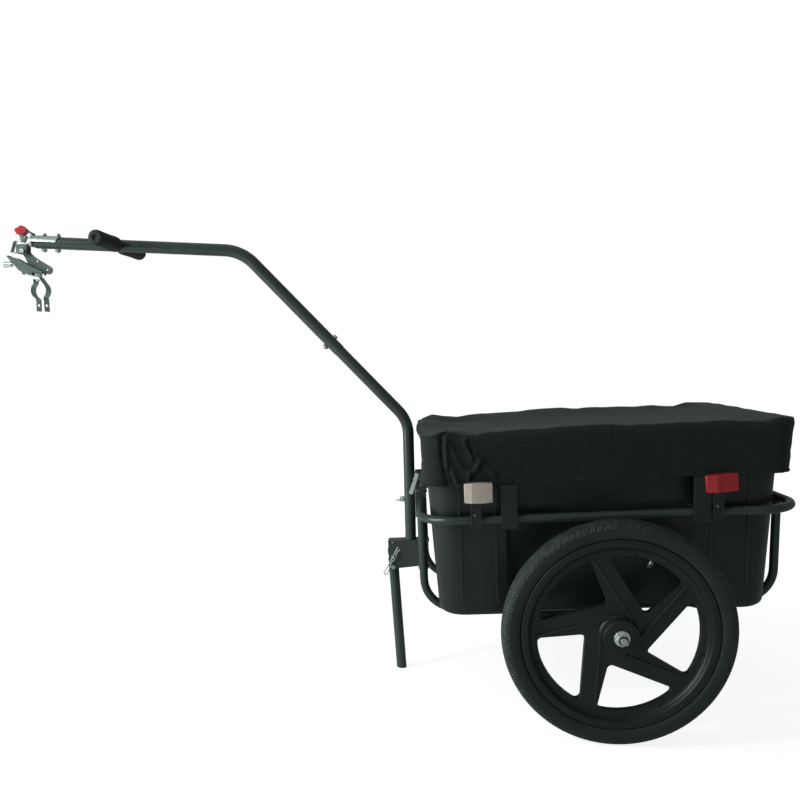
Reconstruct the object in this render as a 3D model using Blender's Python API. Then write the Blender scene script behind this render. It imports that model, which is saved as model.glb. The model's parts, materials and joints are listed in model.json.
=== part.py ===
"""A two-wheeled bike cargo trailer: tube frame, lift-out tub under a fabric cover, cranked drawbar with a
T-handle, kickstand and seat-post hitch. Metres; X runs back along the trailer, Y to its right, Z up."""

import math

import bmesh
import bpy
import numpy as np
from mathutils import Matrix, Vector

# Fits shared by the whole trailer
GAP = 0.0003
PARK_TILT = math.radians(5.0)
TUBE_SIDES = 12
BOLT_SIDES = 12

# Wheels
TYRE_R = 0.200
TYRE_HALF_WIDTH = 0.022
TYRE_WALL = 0.004
BEAD_R = 0.1585
WHEEL_Y = 0.277
RIM_FLANGE_R = 0.1675
RIM_FLANGE_WALL = 0.003
RIM_INNER_R = 0.140
RIM_LIP = 0.0035
WEB_HALF = 0.0065
HUB_R = 0.030
HUB_HALF = 0.028
WHEEL_SEGMENTS = 28
WINDOWS = 5
WINDOW_TURN = math.radians(-8.3)
WINDOW_INNER_R = 0.056
WINDOW_CORNER_ANGLE = math.radians(-28.7)
WINDOW_FRONT_ANGLE = math.radians(-26.2)
WINDOW_BACK_ANGLE = math.radians(33.3)
WINDOW_FILLET = 0.008
VALVE_ANGLE = math.radians(65.0)
VALVE_R = 0.004
VALVE_TIP_R = 0.125
AXLE_R = 0.006
BUSH_WALL = 0.003
AXLE_END = 0.0178
NUT_FLANGE_R = 0.0137
NUT_FLANGE = 0.0025
AXLE_NUT_HALF = 0.0095
AXLE_NUT = 0.010

# Frame tubes
RAIL_R = 0.008
RAIL_WALL = 0.0015
RAIL_HALF_X = 0.333
RAIL_HALF_Y = 0.225
RAIL_Z = 0.395
RAIL_CORNER = 0.075
SIDE_Y = 0.116
SIDE_BEND = 0.059
REAR_POST_INSET = 0.003
REAR_POST_LEAN = 0.005
CROSSBAR_Z = 0.283
ARM_END_Y = 0.240
VENT_R = 0.0025

# Drawbar
LOWER_BAR_R = 0.0113
BAR_R = 0.0121
BAR_WALL = 0.0015
UPRIGHT_AHEAD = 0.0275
UPRIGHT_LEAN = math.radians(1.4)
UPRIGHT_FOOT_Z = 0.288
LOWER_BEND_Z = 0.5613
SLANT = math.radians(48.3)
SLANT_LENGTH = 0.4801
LOWER_BEND_R = 0.070
UPPER_BEND_R = 0.090
NOSE_RISE = math.radians(5.86)
NOSE_LENGTH = 0.4264
JOINT_AT = 0.2251
SEAM_BELOW_BOLT = 0.025
SPIGOT_LENGTH = 0.055
HANDLE_AT = 0.2536
HANDLE_R = 0.0095
HANDLE_HALF = 0.110
GRIP_R = 0.0150
GRIP_START = 0.018
GRIP_END_WALL = 0.003
SMALL_BOLT_R = 0.003
SMALL_HEAD_R = 0.0052
SMALL_HEAD = 0.004
SMALL_NUT = 0.0045
THREAD_PAST_NUT = 0.0020

# Lower bracket and kickstand
SHEET = 0.0025
BRACKET_AHEAD = 0.0465
BRACKET_LOW_Z = 0.2530
BRACKET_RISE = 0.005
BRACKET_TOP_Z = 0.3133
BRACKET_HALF_Y = 0.015
STAND_R = 0.0106
STAND_WALL = 0.0015
STAND_AHEAD = 0.0378
STAND_PIVOT_Z = 0.2579
STAND_ABOVE_PIVOT = 0.0400
STAND_LEAN = math.radians(1.5)
PIVOT_BOLT_R = 0.003
PIVOT_HEAD_HALF = 0.005
LOCK_PIN_R = 0.003
LOCK_PIN_ABOVE = 0.0223
LOCK_PIN_OUT = 0.0085
CLIP_WIRE_R = 0.00125
CLIP_LEAN = math.radians(30.0)

# Upper bracket, latch and pull pin
GUSSET_LOW_Z = 0.362
GUSSET_TOP_Z = 0.457
GUSSET_HALF_Y = 0.0165
GUSSET_BACK = 0.0080
PULL_PIN_Z = 0.3986
PULL_PIN_R = 0.003
PULL_PIN_REACH = 0.0015
PULL_COLLAR_R = 0.006
PULL_COLLAR = 0.0045
PULL_TAB = 0.0042
PULL_TAB_HALF = 0.0020
PULL_RING_R = 0.0062
PULL_WIRE_R = 0.0010
LATCH_PIVOT_DROP = 0.007
LATCH_LENGTH = 0.046
LATCH_LEAN = math.radians(20.0)
LATCH_HALF_WIDTH = 0.004
LATCH_THICK = 0.002
LATCH_PIN_R = 0.0022

# Tub
TUB_MID_X = -0.0078
TUB_FOOT_HALF_X = 0.2967
TUB_FOOT_HALF_Y = 0.197
TUB_TOP_HALF_X = 0.3145
TUB_TOP_HALF_Y = 0.218
TUB_TOP_Z = 0.5438
TUB_WALL = 0.0025
TUB_CORNER = 0.050
TUB_FOOT_ROUND = 0.012
TUB_GROOVE_ROUND = 0.030
TUB_GROOVE_HALF = 0.0105
TUB_GROOVE_RAMP = 0.003
TUB_LIP = 0.0035
TUB_LIP_DROP = 0.010
RECESS_FRONT_X = -0.170
RECESS_BACK_X = 0.152
RECESS_RAMP = 0.010
RECESS_DEPTH = 0.010
RECESS_TOP_Z = 0.500
HOOK_FRONT_X = -0.175
HOOK_BACK_X = 0.1557
HOOK_HALF_X = 0.0145
HOOK_LOW_Z = 0.379
HOOK_TOP_Z = 0.459
HOOK_WALL = 0.0025
HOOK_WEB = 0.004

# Cover
COVER_CLOTH = 0.0016
COVER_MID_X = -0.0065
COVER_HALF_X = 0.332
COVER_HALF_Y = 0.2305
COVER_HEM_Z = 0.4605
COVER_HEM_IN_X = 0.0098
COVER_HEM_IN_Y = 0.0030
COVER_CORNER = 0.040
COVER_CREST = (
    (-0.337, 0.0052), (-0.308, 0.0132), (-0.280, 0.0062), (-0.250, 0.0042), (-0.225, 0.0072),
    (-0.190, 0.0092), (-0.140, 0.0087), (-0.090, 0.0112), (-0.045, 0.0142), (0.000, 0.0132),
    (0.035, 0.0102), (0.080, 0.0112), (0.160, 0.0087), (0.210, 0.0092), (0.250, 0.0048),
    (0.265, 0.0038), (0.293, 0.0122), (0.320, 0.0107),
)
COVER_SAG = 0.012
COVER_FOLD = 0.0032
COVER_POINTS = 44

# Reflectors and their brackets
REFLECTOR_THICK = 0.010
REFLECTOR_CHAMFER = 0.006
FRONT_REFLECTOR = {"x": -0.2282, "z": 0.447, "half_x": 0.0250, "half_z": 0.0190, "carrier_x": -0.2333}
REAR_REFLECTOR = {"x": 0.1860, "z": 0.4477, "half_x": 0.0272, "half_z": 0.0170, "carrier_x": 0.1822}
CARRIER_HALF_X = 0.0090
CARRIER_LOW_Z = 0.382
CARRIER_WALL = 0.0025
CARRIER_SHORT = 0.012
CARRIER_SHELF = 0.010
CARRIER_SHELF_WALL = 0.0025

# Hitch, in the nose's own frame: origin at the drawbar's open end, u back along it, v up from it
SLEEVE_WALL = 0.0015
SLEEVE_BACK = 0.0505
SLEEVE_SLANT = 0.0055
SLEEVE_BOLTS = (0.0158, 0.0447)
TONGUE_U = -0.0105
TONGUE_WALL = 0.0035
TONGUE_HALF_Y = 0.0105
TONGUE_LOW_V = -0.0095
EYE_TOP_V = -0.0025
KING_U = -0.0313
KING_R = 0.0045
COLLAR_FOOT_R = 0.0065
COLLAR_TOP_R = 0.0115
COLLAR_HEIGHT = 0.0150
BLOCK_FRONT_U = -0.0400
BLOCK_BACK_U = -0.0175
BLOCK_LOW_V = -0.0245
BLOCK_HALF_Y = 0.0095
PITCH_U = -0.0262
PITCH_V = -0.0190
PITCH_R = 0.0025
PITCH_HEAD_R = 0.0048
PITCH_HEAD = 0.0030
YOKE_HALF = 0.0020
YOKE_END_R = 0.0062
YOKE_HOLE_R = 0.0024
KNEE = (-0.0022, -0.0310)
YOKE_TAIL = (0.0245, -0.0545)
YOKE_TAIL_R = 0.0085
YOKE_HOLES = ((0.0005, -0.0376), (0.0216, -0.0541))
YOKE_BELLY = (-0.0240, -0.0330)
YOKE_FOOT = (-0.0100, 0.0140)
SHOE_OUTLINE = (
    (-0.0606, -0.0312), (-0.0346, -0.0587), (-0.0130, -0.0672), (-0.0065, -0.0672), (-0.0065, -0.0615),
    (0.0110, -0.0615), (0.0110, -0.0655), (0.0150, -0.0645), (0.0150, -0.0590), (-0.0030, -0.0522),
    (-0.0415, -0.0335),
)
SHOE_BASE = (-0.0150, 0.0140)
SHOE_IN_HALF = 0.0065
SHOE_WALL = 0.0025
SHOE_BASE_V = -0.0590
SHOE_LIP_SHARE = 0.85
FRONT_BOLT_V = -0.0446
FRONT_BOLT_REACH = 0.0240
FRONT_BOLT_LEAN = math.radians(8.0)
FRONT_BOLT_HEAD_R = 0.0058
FRONT_BOLT_HEAD = 0.0180
FRONT_BOLT_IN = 0.0055
REAR_BOLT_U = -0.0300
SWIVEL_U = 0.0024
SWIVEL_R = 0.0030
SWIVEL_NUT_HALF = 0.0070
SWIVEL_NUT = 0.0085
CLAMP_TURN = math.radians(11.0)
CLAMP_WALL = 0.0018
CLAMP_HALF_Y = 0.0085
CLAMP_R = 0.0177
CLAMP_DROP = 0.0255
CLAMP_EAR = 0.0225
CLAMP_EAR_HOLE_R = 0.0033
LEVER_PIN_R = 0.0022
LEVER_PIVOT = (-0.0086, BAR_R + SLEEVE_WALL + LEVER_PIN_R + 2 * GAP)
LEVER_HALF_Y = 0.0072
SPRING_CLIP = ((-0.0403, -0.0225), (-0.0535, -0.0225), (-0.0470, -0.0010), (-0.0440, 0.0010))
SPRING_CLIP_WALL = 0.0014
SPRING_CLIP_HALF_Y = 0.0060

# Places worked out from the sizes above
AXLE_Z = TYRE_R
UPRIGHT_X = -(RAIL_HALF_X + UPRIGHT_AHEAD)
UPRIGHT_WAY = Vector((math.sin(UPRIGHT_LEAN), 0, math.cos(UPRIGHT_LEAN)))
LOWER_CORNER = Vector((UPRIGHT_X, 0, UPRIGHT_FOOT_Z)) + UPRIGHT_WAY * (
    (LOWER_BEND_Z - UPRIGHT_FOOT_Z) / UPRIGHT_WAY.z
)
SLANT_WAY = Vector((-math.cos(SLANT), 0, math.sin(SLANT)))
UPPER_CORNER = LOWER_CORNER + SLANT_WAY * SLANT_LENGTH
NOSE_WAY = Vector((-math.cos(NOSE_RISE), 0, math.sin(NOSE_RISE)))
NOSE_END = UPPER_CORNER + NOSE_WAY * NOSE_LENGTH
TUB_FLOOR_Z = AXLE_Z + RAIL_R + GAP
STAND_X = UPRIGHT_X - STAND_AHEAD
ALONG_X = Vector((1, 0, 0))
ALONG_Y = Vector((0, 1, 0))
ALONG_Z = Vector((0, 0, 1))


# Materials

def finish(name, colour, roughness, metallic):
    """A Principled material with one colour."""
    material = bpy.data.materials.new(name)
    material.use_nodes = True
    shader = material.node_tree.nodes["Principled BSDF"]
    shader.inputs["Base Color"].default_value = (*colour, 1)
    shader.inputs["Roughness"].default_value = roughness
    shader.inputs["Metallic"].default_value = metallic
    return material


# Scene objects

def clear_scene():
    for old in list(bpy.data.objects):
        bpy.data.objects.remove(old)


def empty(name, parent, place, turn=(0, 0, 0)):
    """An axis or frame that pieces hang from."""
    point = bpy.data.objects.new(name, None)
    bpy.context.scene.collection.objects.link(point)
    point.parent = parent
    point.location = place
    point.rotation_euler = turn
    return point


def mesh_object(name, bm, parent, material=None, origin=(0, 0, 0)):
    """Turns a bmesh in the parent's frame into an object whose own origin lies at the given point."""
    bmesh.ops.translate(bm, verts=bm.verts, vec=-Vector(origin))
    mesh = bpy.data.meshes.new(name)
    bm.to_mesh(mesh)
    bm.free()
    mesh.shade_smooth()
    mesh.set_sharp_from_angle(angle=math.radians(32))
    if material:
        mesh.materials.append(material)
    piece = bpy.data.objects.new(name, mesh)
    bpy.context.scene.collection.objects.link(piece)
    piece.parent = parent
    piece.location = origin
    return piece


def shape_with(piece, operation, bm):
    """Cuts or joins a helper shape, given in the frame of the piece's parent."""
    tool = mesh_object(piece.name + "_" + operation.lower(), bm, piece.parent)
    tool.hide_render = True
    tool.display_type = "WIRE"
    modifier = piece.modifiers.new(operation.lower(), "BOOLEAN")
    modifier.operation = operation
    modifier.object = tool


def cut(piece, bm):
    shape_with(piece, "DIFFERENCE", bm)


def join(piece, bm):
    shape_with(piece, "UNION", bm)


# Outlines and solids

def turns(count):
    return [2 * math.pi * step / count for step in range(count)]


def box(low, high):
    bm = bmesh.new()
    size = Vector(high) - Vector(low)
    middle = (Vector(high) + Vector(low)) / 2
    bmesh.ops.create_cube(bm, size=1, matrix=Matrix.Translation(middle) @ Matrix.Diagonal((*size, 1)))
    return bm


def slab(outline, low_y, high_y):
    """A flat plate: an outline of (x, z) points, thick along Y."""
    bm = bmesh.new()
    near = [bm.verts.new((x, low_y, z)) for x, z in outline]
    far = [bm.verts.new((x, high_y, z)) for x, z in outline]
    bm.faces.new(near)
    bm.faces.new(far[::-1])
    for step in range(len(outline)):
        after = (step + 1) % len(outline)
        bm.faces.new((near[step], near[after], far[after], far[step]))
    bmesh.ops.recalc_face_normals(bm, faces=bm.faces)
    return bm


def side_slab(outline, low_x, high_x):
    """A plate with an outline of (y, z) points, thick along X."""
    bm = slab(outline, low_x, high_x)
    swap = Matrix(((0, 1, 0, 0), (1, 0, 0, 0), (0, 0, 1, 0), (0, 0, 0, 1)))
    bmesh.ops.transform(bm, verts=bm.verts, matrix=swap)
    bmesh.ops.recalc_face_normals(bm, faces=bm.faces)
    return bm


def stacked(start, heading, levels, sides=BOLT_SIDES):
    """Steps along a line. A level is (distance, radius or half the width over flats, hexagonal)."""
    bm = bmesh.new()
    heading = heading.normalized()
    across = heading.orthogonal().normalized()
    beside = heading.cross(across)
    rings = []
    for distance, size, hexagonal in levels:
        ring = []
        for turn in turns(sides):
            off_flat = (turn + math.pi / 6) % (math.pi / 3) - math.pi / 6
            reach = size / math.cos(off_flat) if hexagonal else size
            spoke = across * math.cos(turn) + beside * math.sin(turn)
            ring.append(bm.verts.new(start + heading * distance + spoke * reach))
        rings.append(ring)
    bm.faces.new(rings[0][::-1])
    bm.faces.new(rings[-1])
    for first, second in zip(rings, rings[1:]):
        for step in range(sides):
            after = (step + 1) % sides
            bm.faces.new((first[step], first[after], second[after], second[step]))
    return bm


def rod(start, end, radius, sides=BOLT_SIDES):
    start = Vector(start)
    way = Vector(end) - start
    return stacked(start, way, [(0, radius, False), (way.length, radius, False)], sides)


def turned(profile, segments, closed=True, place=(0, 0, 0)):
    """Turns (radius, y) points about an axis along Y. A closed profile makes a ring."""
    bm = bmesh.new()
    place = Vector(place)
    rings = []
    for radius, along in profile:
        if radius < 1e-6:
            rings.append([bm.verts.new(place + Vector((0, along, 0)))])
            continue
        ring = [Vector((radius * math.cos(t), along, radius * math.sin(t))) for t in turns(segments)]
        rings.append([bm.verts.new(place + point) for point in ring])
    pairs = list(zip(rings, rings[1:]))
    if closed:
        pairs.append((rings[-1], rings[0]))
    for first, second in pairs:
        for step in range(segments):
            after = (step + 1) % segments
            corners = [first[step % len(first)], first[after % len(first)]]
            corners += [second[after % len(second)], second[step % len(second)]]
            corners = list(dict.fromkeys(corners))
            if len(corners) > 2:
                bm.faces.new(corners)
    bmesh.ops.recalc_face_normals(bm, faces=bm.faces)
    return bm


def bent(corners, radius, steps=4, closed=False):
    """Points and headings along straight runs joined by arcs that lie in one plane."""
    path = []
    count = len(corners)
    if not closed:
        path.append((corners[0], (corners[1] - corners[0]).normalized()))
    for index in range(0 if closed else 1, count if closed else count - 1):
        corner = corners[index]
        before = (corner - corners[index - 1]).normalized()
        after = (corners[(index + 1) % count] - corner).normalized()
        angle = before.angle(after)
        start = corner - before * radius * math.tan(angle / 2)
        inward = before.cross(after).normalized().cross(before)
        for step in range(steps + 1):
            turn = angle * step / steps
            out = before * math.sin(turn) + inward * (1 - math.cos(turn))
            path.append((start + out * radius, before * math.cos(turn) + inward * math.sin(turn)))
    if not closed:
        path.append((corners[-1], (corners[-1] - corners[-2]).normalized()))
    return path


def pipe(path, normal, radius, wall=0.0, sides=TUBE_SIDES, closed=False, start_fit=None, end_fit=None):
    """A round tube or rod along a flat path. A fit moves the points of an end to what it meets."""
    bm = bmesh.new()
    skins = []
    for size in [radius, radius - wall] if wall else [radius]:
        rings = []
        for point, heading in path:
            across = normal.cross(heading)
            rings.append([point + (across * math.cos(t) + normal * math.sin(t)) * size for t in turns(sides)])
        if start_fit:
            rings[0] = [start_fit(point) for point in rings[0]]
        if end_fit:
            rings[-1] = [end_fit(point) for point in rings[-1]]
        skins.append([[bm.verts.new(point) for point in ring] for ring in rings])
    for skin, inside in zip(skins, (False, True)):
        pairs = list(zip(skin, skin[1:]))
        if closed:
            pairs.append((skin[-1], skin[0]))
        for first, second in pairs:
            for step in range(sides):
                after = (step + 1) % sides
                quad = [first[step], first[after], second[after], second[step]]
                bm.faces.new(quad[::-1] if inside else quad)
    if not closed:
        close_end(bm, [skin[0] for skin in skins], facing_back=True)
        close_end(bm, [skin[-1] for skin in skins], facing_back=False)
    return bm


def close_end(bm, rings, facing_back):
    """Closes a tube's end with a flat ring, or a rod's with a fan."""
    outer = rings[0]
    sides = len(outer)
    middle = None
    if len(rings) == 1:
        middle = bm.verts.new(sum((vert.co for vert in outer), Vector()) / sides)
    for step in range(sides):
        after = (step + 1) % sides
        if middle:
            corners = [middle, outer[after], outer[step]]
        else:
            corners = [outer[step], rings[1][step], rings[1][after], outer[after]]
        bm.faces.new(corners if facing_back else corners[::-1])


def meet_round(centre, axis, radius, heading):
    """Slides a point along the heading up to a round bar."""
    def move(point):
        offset = point - centre
        offset -= axis * offset.dot(axis)
        way = heading - axis * heading.dot(axis)
        half = offset.dot(way) / way.length_squared
        rest = (offset.length_squared - radius * radius) / way.length_squared
        inside = max(half * half - rest, 0)
        return point + heading * (-half - math.sqrt(inside))
    return move


def strip(points, wall, half_y):
    """A bent flat strip: a line of (x, z) points with a thickness, wide along Y."""
    line = [Vector((x, z)) for x, z in points]
    left = []
    right = []
    for index, point in enumerate(line):
        before = (point - line[index - 1]).normalized() if index else (line[1] - point).normalized()
        after = (line[index + 1] - point).normalized() if index + 1 < len(line) else before
        middle = (before + after).normalized()
        side = Vector((-middle.y, middle.x)) * (wall / 2 / max(middle.dot(before), 0.5))
        left.append(tuple(point + side))
        right.append(tuple(point - side))
    return slab(left + right[::-1], -half_y, half_y)


def rounded(corners, radius, steps=3):
    """A flat outline with its corners filleted. A radius may differ from corner to corner."""
    outline = []
    count = len(corners)
    for index, corner in enumerate(corners):
        size = radius[index] if isinstance(radius, (list, tuple)) else radius
        if not size:
            outline.append(tuple(corner))
            continue
        here = Vector((corner[0], corner[1], 0))
        before = here - Vector((*corners[index - 1], 0))
        after = Vector((*corners[(index + 1) % count], 0)) - here
        path = bent([here - before, here, here + after], size, steps)[1:-1]
        outline += [(point.x, point.y) for point, _ in path]
    return outline


# Wheels

def rim_profile():
    """Half-section of the moulded rim: hub, web, grooved ring and tyre seat."""
    flange_y = TYRE_HALF_WIDTH - 0.0035
    seat_y = flange_y - RIM_FLANGE_WALL
    side = [
        (AXLE_R + GAP + BUSH_WALL + GAP, HUB_HALF),
        (HUB_R - RIM_LIP / 4, HUB_HALF),
        (HUB_R, WEB_HALF),
        (RIM_INNER_R, WEB_HALF),
        (RIM_INNER_R, flange_y - RIM_LIP / 2),
        (RIM_INNER_R + RIM_LIP, flange_y - RIM_LIP / 2),
        (RIM_INNER_R + 1.5 * RIM_LIP, WEB_HALF),
        (RIM_FLANGE_R - 5 * RIM_LIP, WEB_HALF),
        (RIM_FLANGE_R - 4 * RIM_LIP, flange_y),
        (RIM_FLANGE_R, flange_y),
        (RIM_FLANGE_R, seat_y),
        (BEAD_R - GAP, seat_y),
        (BEAD_R - RIM_LIP, WEB_HALF),
    ]
    return side + [(radius, -along) for radius, along in side[::-1]]


def tyre_skin():
    """The carcass from one bead over the tread to the other, outside and then inside."""
    bead_y = TYRE_HALF_WIDTH - 0.0035 - RIM_FLANGE_WALL - 2 * GAP
    shoulder = TYRE_R - RIM_FLANGE_R
    outside = [
        (BEAD_R, bead_y),
        (RIM_FLANGE_R + 2 * GAP, bead_y),
        (RIM_FLANGE_R + 0.28 * shoulder, TYRE_HALF_WIDTH - 0.0015),
        (RIM_FLANGE_R + 0.62 * shoulder, TYRE_HALF_WIDTH),
        (RIM_FLANGE_R + 0.87 * shoulder, 0.72 * TYRE_HALF_WIDTH),
        (TYRE_R, 0.27 * TYRE_HALF_WIDTH),
    ]
    inside = [
        (BEAD_R, bead_y - TYRE_WALL),
        (RIM_FLANGE_R + 0.10 * shoulder, bead_y - TYRE_WALL + 0.001),
        (RIM_FLANGE_R + 0.52 * shoulder, TYRE_HALF_WIDTH - TYRE_WALL),
        (TYRE_R - TYRE_WALL, 0.27 * TYRE_HALF_WIDTH),
    ]
    return outside, inside


def both_sides(points):
    return points + [(radius, -along) for radius, along in points[::-1]]


def inner_tube_profile():
    """The tube fills the tyre's inside with a small clearance all round."""
    inside = both_sides(tyre_skin()[1])
    middle = Vector((BEAD_R + TYRE_R - TYRE_WALL, 0)) / 2
    profile = []
    for point in inside:
        inward = middle - Vector(point)
        profile.append(tuple(Vector(point) + inward * (2 * GAP / inward.length)))
    return profile


def window_outline(centre_angle):
    """One opening between two spokes: a straight front edge, an arc under the rim and a long back edge."""
    def at(radius, angle):
        return (radius * math.cos(centre_angle + angle), radius * math.sin(centre_angle + angle))
    arc_steps = 6
    sweep = WINDOW_BACK_ANGLE - WINDOW_FRONT_ANGLE
    outer_r = RIM_INNER_R - RIM_LIP / 4
    arc = [at(outer_r, WINDOW_FRONT_ANGLE + sweep * step / arc_steps) for step in range(arc_steps + 1)]
    corners = [at(WINDOW_INNER_R, WINDOW_CORNER_ANGLE)] + arc
    fillets = [WINDOW_FILLET, WINDOW_FILLET] + [0] * (arc_steps - 1) + [WINDOW_FILLET]
    return rounded(corners, fillets)


def wheel(side_name, side, root, looks):
    """Tyre, inner tube, rim and bush that turn together, and the axle bolt and nut that don't."""
    hub = empty("wheel_axis_" + side_name, root, (0, side * WHEEL_Y, AXLE_Z))
    hub.rotation_euler = (0, PARK_TILT + math.pi / 2, 0)
    outside, inside = tyre_skin()
    mesh_object(
        "tyre_" + side_name, turned(both_sides(outside) + both_sides(inside)[::-1], WHEEL_SEGMENTS),
        hub, looks["rubber"],
    )
    # The valve and the windows are placed in the trailer's frame, so they take the hub's own turn off.
    hub_turn = PARK_TILT + math.pi / 2
    valve_angle = VALVE_ANGLE + hub_turn
    valve_way = Vector((math.cos(valve_angle), 0, math.sin(valve_angle)))
    tube = mesh_object(
        "inner_tube_" + side_name, turned(inner_tube_profile(), WHEEL_SEGMENTS), hub, looks["rubber"]
    )
    join(tube, rod(valve_way * VALVE_TIP_R, valve_way * (BEAD_R + TYRE_WALL), VALVE_R))
    rim = mesh_object("rim_" + side_name, turned(rim_profile(), WHEEL_SEGMENTS), hub, looks["nylon"])
    for number in range(WINDOWS):
        outline = window_outline(WINDOW_TURN + hub_turn + 2 * math.pi * number / WINDOWS)
        cut(rim, slab(outline, -2 * WEB_HALF, 2 * WEB_HALF))
    cut(rim, rod(valve_way * (RIM_INNER_R - RIM_LIP), valve_way * BEAD_R, VALVE_R + GAP))
    bush_ends = sorted((side * (ARM_END_Y + GAP - WHEEL_Y), side * (HUB_HALF + GAP)))
    bush_r = AXLE_R + GAP
    mesh_object(
        "hub_bush_" + side_name,
        turned([(bush_r, bush_ends[0]), (bush_r + BUSH_WALL, bush_ends[0]),
                (bush_r + BUSH_WALL, bush_ends[1]), (bush_r, bush_ends[1])], 16),
        hub, looks["steel"],
    )
    nut_face = WHEEL_Y + HUB_HALF + 2 * GAP
    outward = ALONG_Y * side
    centre = Vector((0, 0, AXLE_Z))
    mesh_object(
        "axle_bolt_" + side_name,
        rod(centre + outward * (SIDE_Y + 0.060), centre + outward * (nut_face + AXLE_END), AXLE_R),
        root, looks["zinc"],
    )
    nut_levels = [
        (0, NUT_FLANGE_R, False), (NUT_FLANGE, NUT_FLANGE_R, False),
        (NUT_FLANGE, AXLE_NUT_HALF, True), (NUT_FLANGE + AXLE_NUT, AXLE_NUT_HALF, True),
    ]
    nut = mesh_object(
        "axle_nut_" + side_name, stacked(centre + outward * nut_face, outward, nut_levels),
        root, looks["zinc"],
    )
    past = outward * (NUT_FLANGE + AXLE_NUT + 0.002)
    cut(nut, rod(centre + outward * (nut_face - 0.002), centre + outward * nut_face + past, AXLE_R + GAP))


# Frame

def frame(root, looks):
    """The closed upper rail, the two bent side tubes, the front crossbar and the axle beam with its arms."""
    corners = [
        Vector((-RAIL_HALF_X, -RAIL_HALF_Y, RAIL_Z)), Vector((RAIL_HALF_X, -RAIL_HALF_Y, RAIL_Z)),
        Vector((RAIL_HALF_X, RAIL_HALF_Y, RAIL_Z)), Vector((-RAIL_HALF_X, RAIL_HALF_Y, RAIL_Z)),
    ]
    loop = bent(corners, RAIL_CORNER, closed=True)
    rail = mesh_object(
        "upper_rail", pipe(loop, ALONG_Z, RAIL_R, RAIL_WALL, closed=True), root, looks["coat"]
    )
    rear_top_x = RAIL_HALF_X - REAR_POST_INSET
    for name, side in (("left", -1), ("right", 1)):
        y = side * SIDE_Y
        for x in (-RAIL_HALF_X, RAIL_HALF_X):
            cut(rail, rod((x, y, RAIL_Z - 2 * RAIL_R), (x, y, RAIL_Z), VENT_R, 8))
        run = [
            Vector((-RAIL_HALF_X, y, RAIL_Z - RAIL_R)), Vector((-RAIL_HALF_X, y, AXLE_Z)),
            Vector((rear_top_x - REAR_POST_LEAN, y, AXLE_Z)), Vector((rear_top_x, y, RAIL_Z - RAIL_R)),
        ]
        front_fit = meet_round(Vector((-RAIL_HALF_X, 0, RAIL_Z)), ALONG_Y, RAIL_R + GAP, ALONG_Z)
        rear_fit = meet_round(Vector((RAIL_HALF_X, 0, RAIL_Z)), ALONG_Y, RAIL_R + GAP, ALONG_Z)
        mesh_object(
            "side_tube_" + name,
            pipe(bent(run, SIDE_BEND), ALONG_Y, RAIL_R, RAIL_WALL, start_fit=front_fit, end_fit=rear_fit),
            root, looks["coat"],
        )
        arm = [(Vector((0, side * (SIDE_Y + 2 * RAIL_R), AXLE_Z)), outward_of(side)),
               (Vector((0, side * ARM_END_Y, AXLE_Z)), outward_of(side))]
        inner_fit = meet_round(Vector((0, y, AXLE_Z)), ALONG_X, RAIL_R + GAP, -outward_of(side))
        mesh_object(
            "axle_arm_" + name,
            pipe(arm, ALONG_Z, RAIL_R, RAIL_R - AXLE_R - GAP, start_fit=inner_fit),
            root, looks["coat"],
        )
    for name, x, z, axis in (
        ("front_crossbar", -RAIL_HALF_X, CROSSBAR_Z, ALONG_Z), ("axle_beam", 0, AXLE_Z, ALONG_X)
    ):
        inner = SIDE_Y - 2 * RAIL_R
        run = [(Vector((x, -inner, z)), ALONG_Y), (Vector((x, inner, z)), ALONG_Y)]
        left_fit = meet_round(Vector((x, -SIDE_Y, z)), axis, RAIL_R + GAP, -ALONG_Y)
        right_fit = meet_round(Vector((x, SIDE_Y, z)), axis, RAIL_R + GAP, ALONG_Y)
        bm = pipe(run, ALONG_Z, RAIL_R, RAIL_WALL, start_fit=left_fit, end_fit=right_fit)
        mesh_object(name, bm, root, looks["coat"])


def outward_of(side):
    return ALONG_Y * side


# Drawbar

def on_slant(distance):
    return LOWER_CORNER + SLANT_WAY * distance


def on_upright(z):
    """The middle of the leaning upright at a height."""
    return Vector((UPRIGHT_X + (z - UPRIGHT_FOOT_Z) * math.tan(UPRIGHT_LEAN), 0, z))


def bolt_through(half_thick, head_r, shank_r, nut_half):
    """A bolt with its nut, through something as thick as twice the first value, head first."""
    face = half_thick + GAP
    return [
        (-face - SMALL_HEAD, head_r * 0.8, False), (-face - SMALL_HEAD / 2, head_r, False),
        (-face, head_r, False), (-face, shank_r, False), (face, shank_r, False),
        (face, nut_half, True), (face + SMALL_NUT, nut_half, True), (face + SMALL_NUT, shank_r, False),
        (face + SMALL_NUT + THREAD_PAST_NUT, shank_r, False),
    ]


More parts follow.
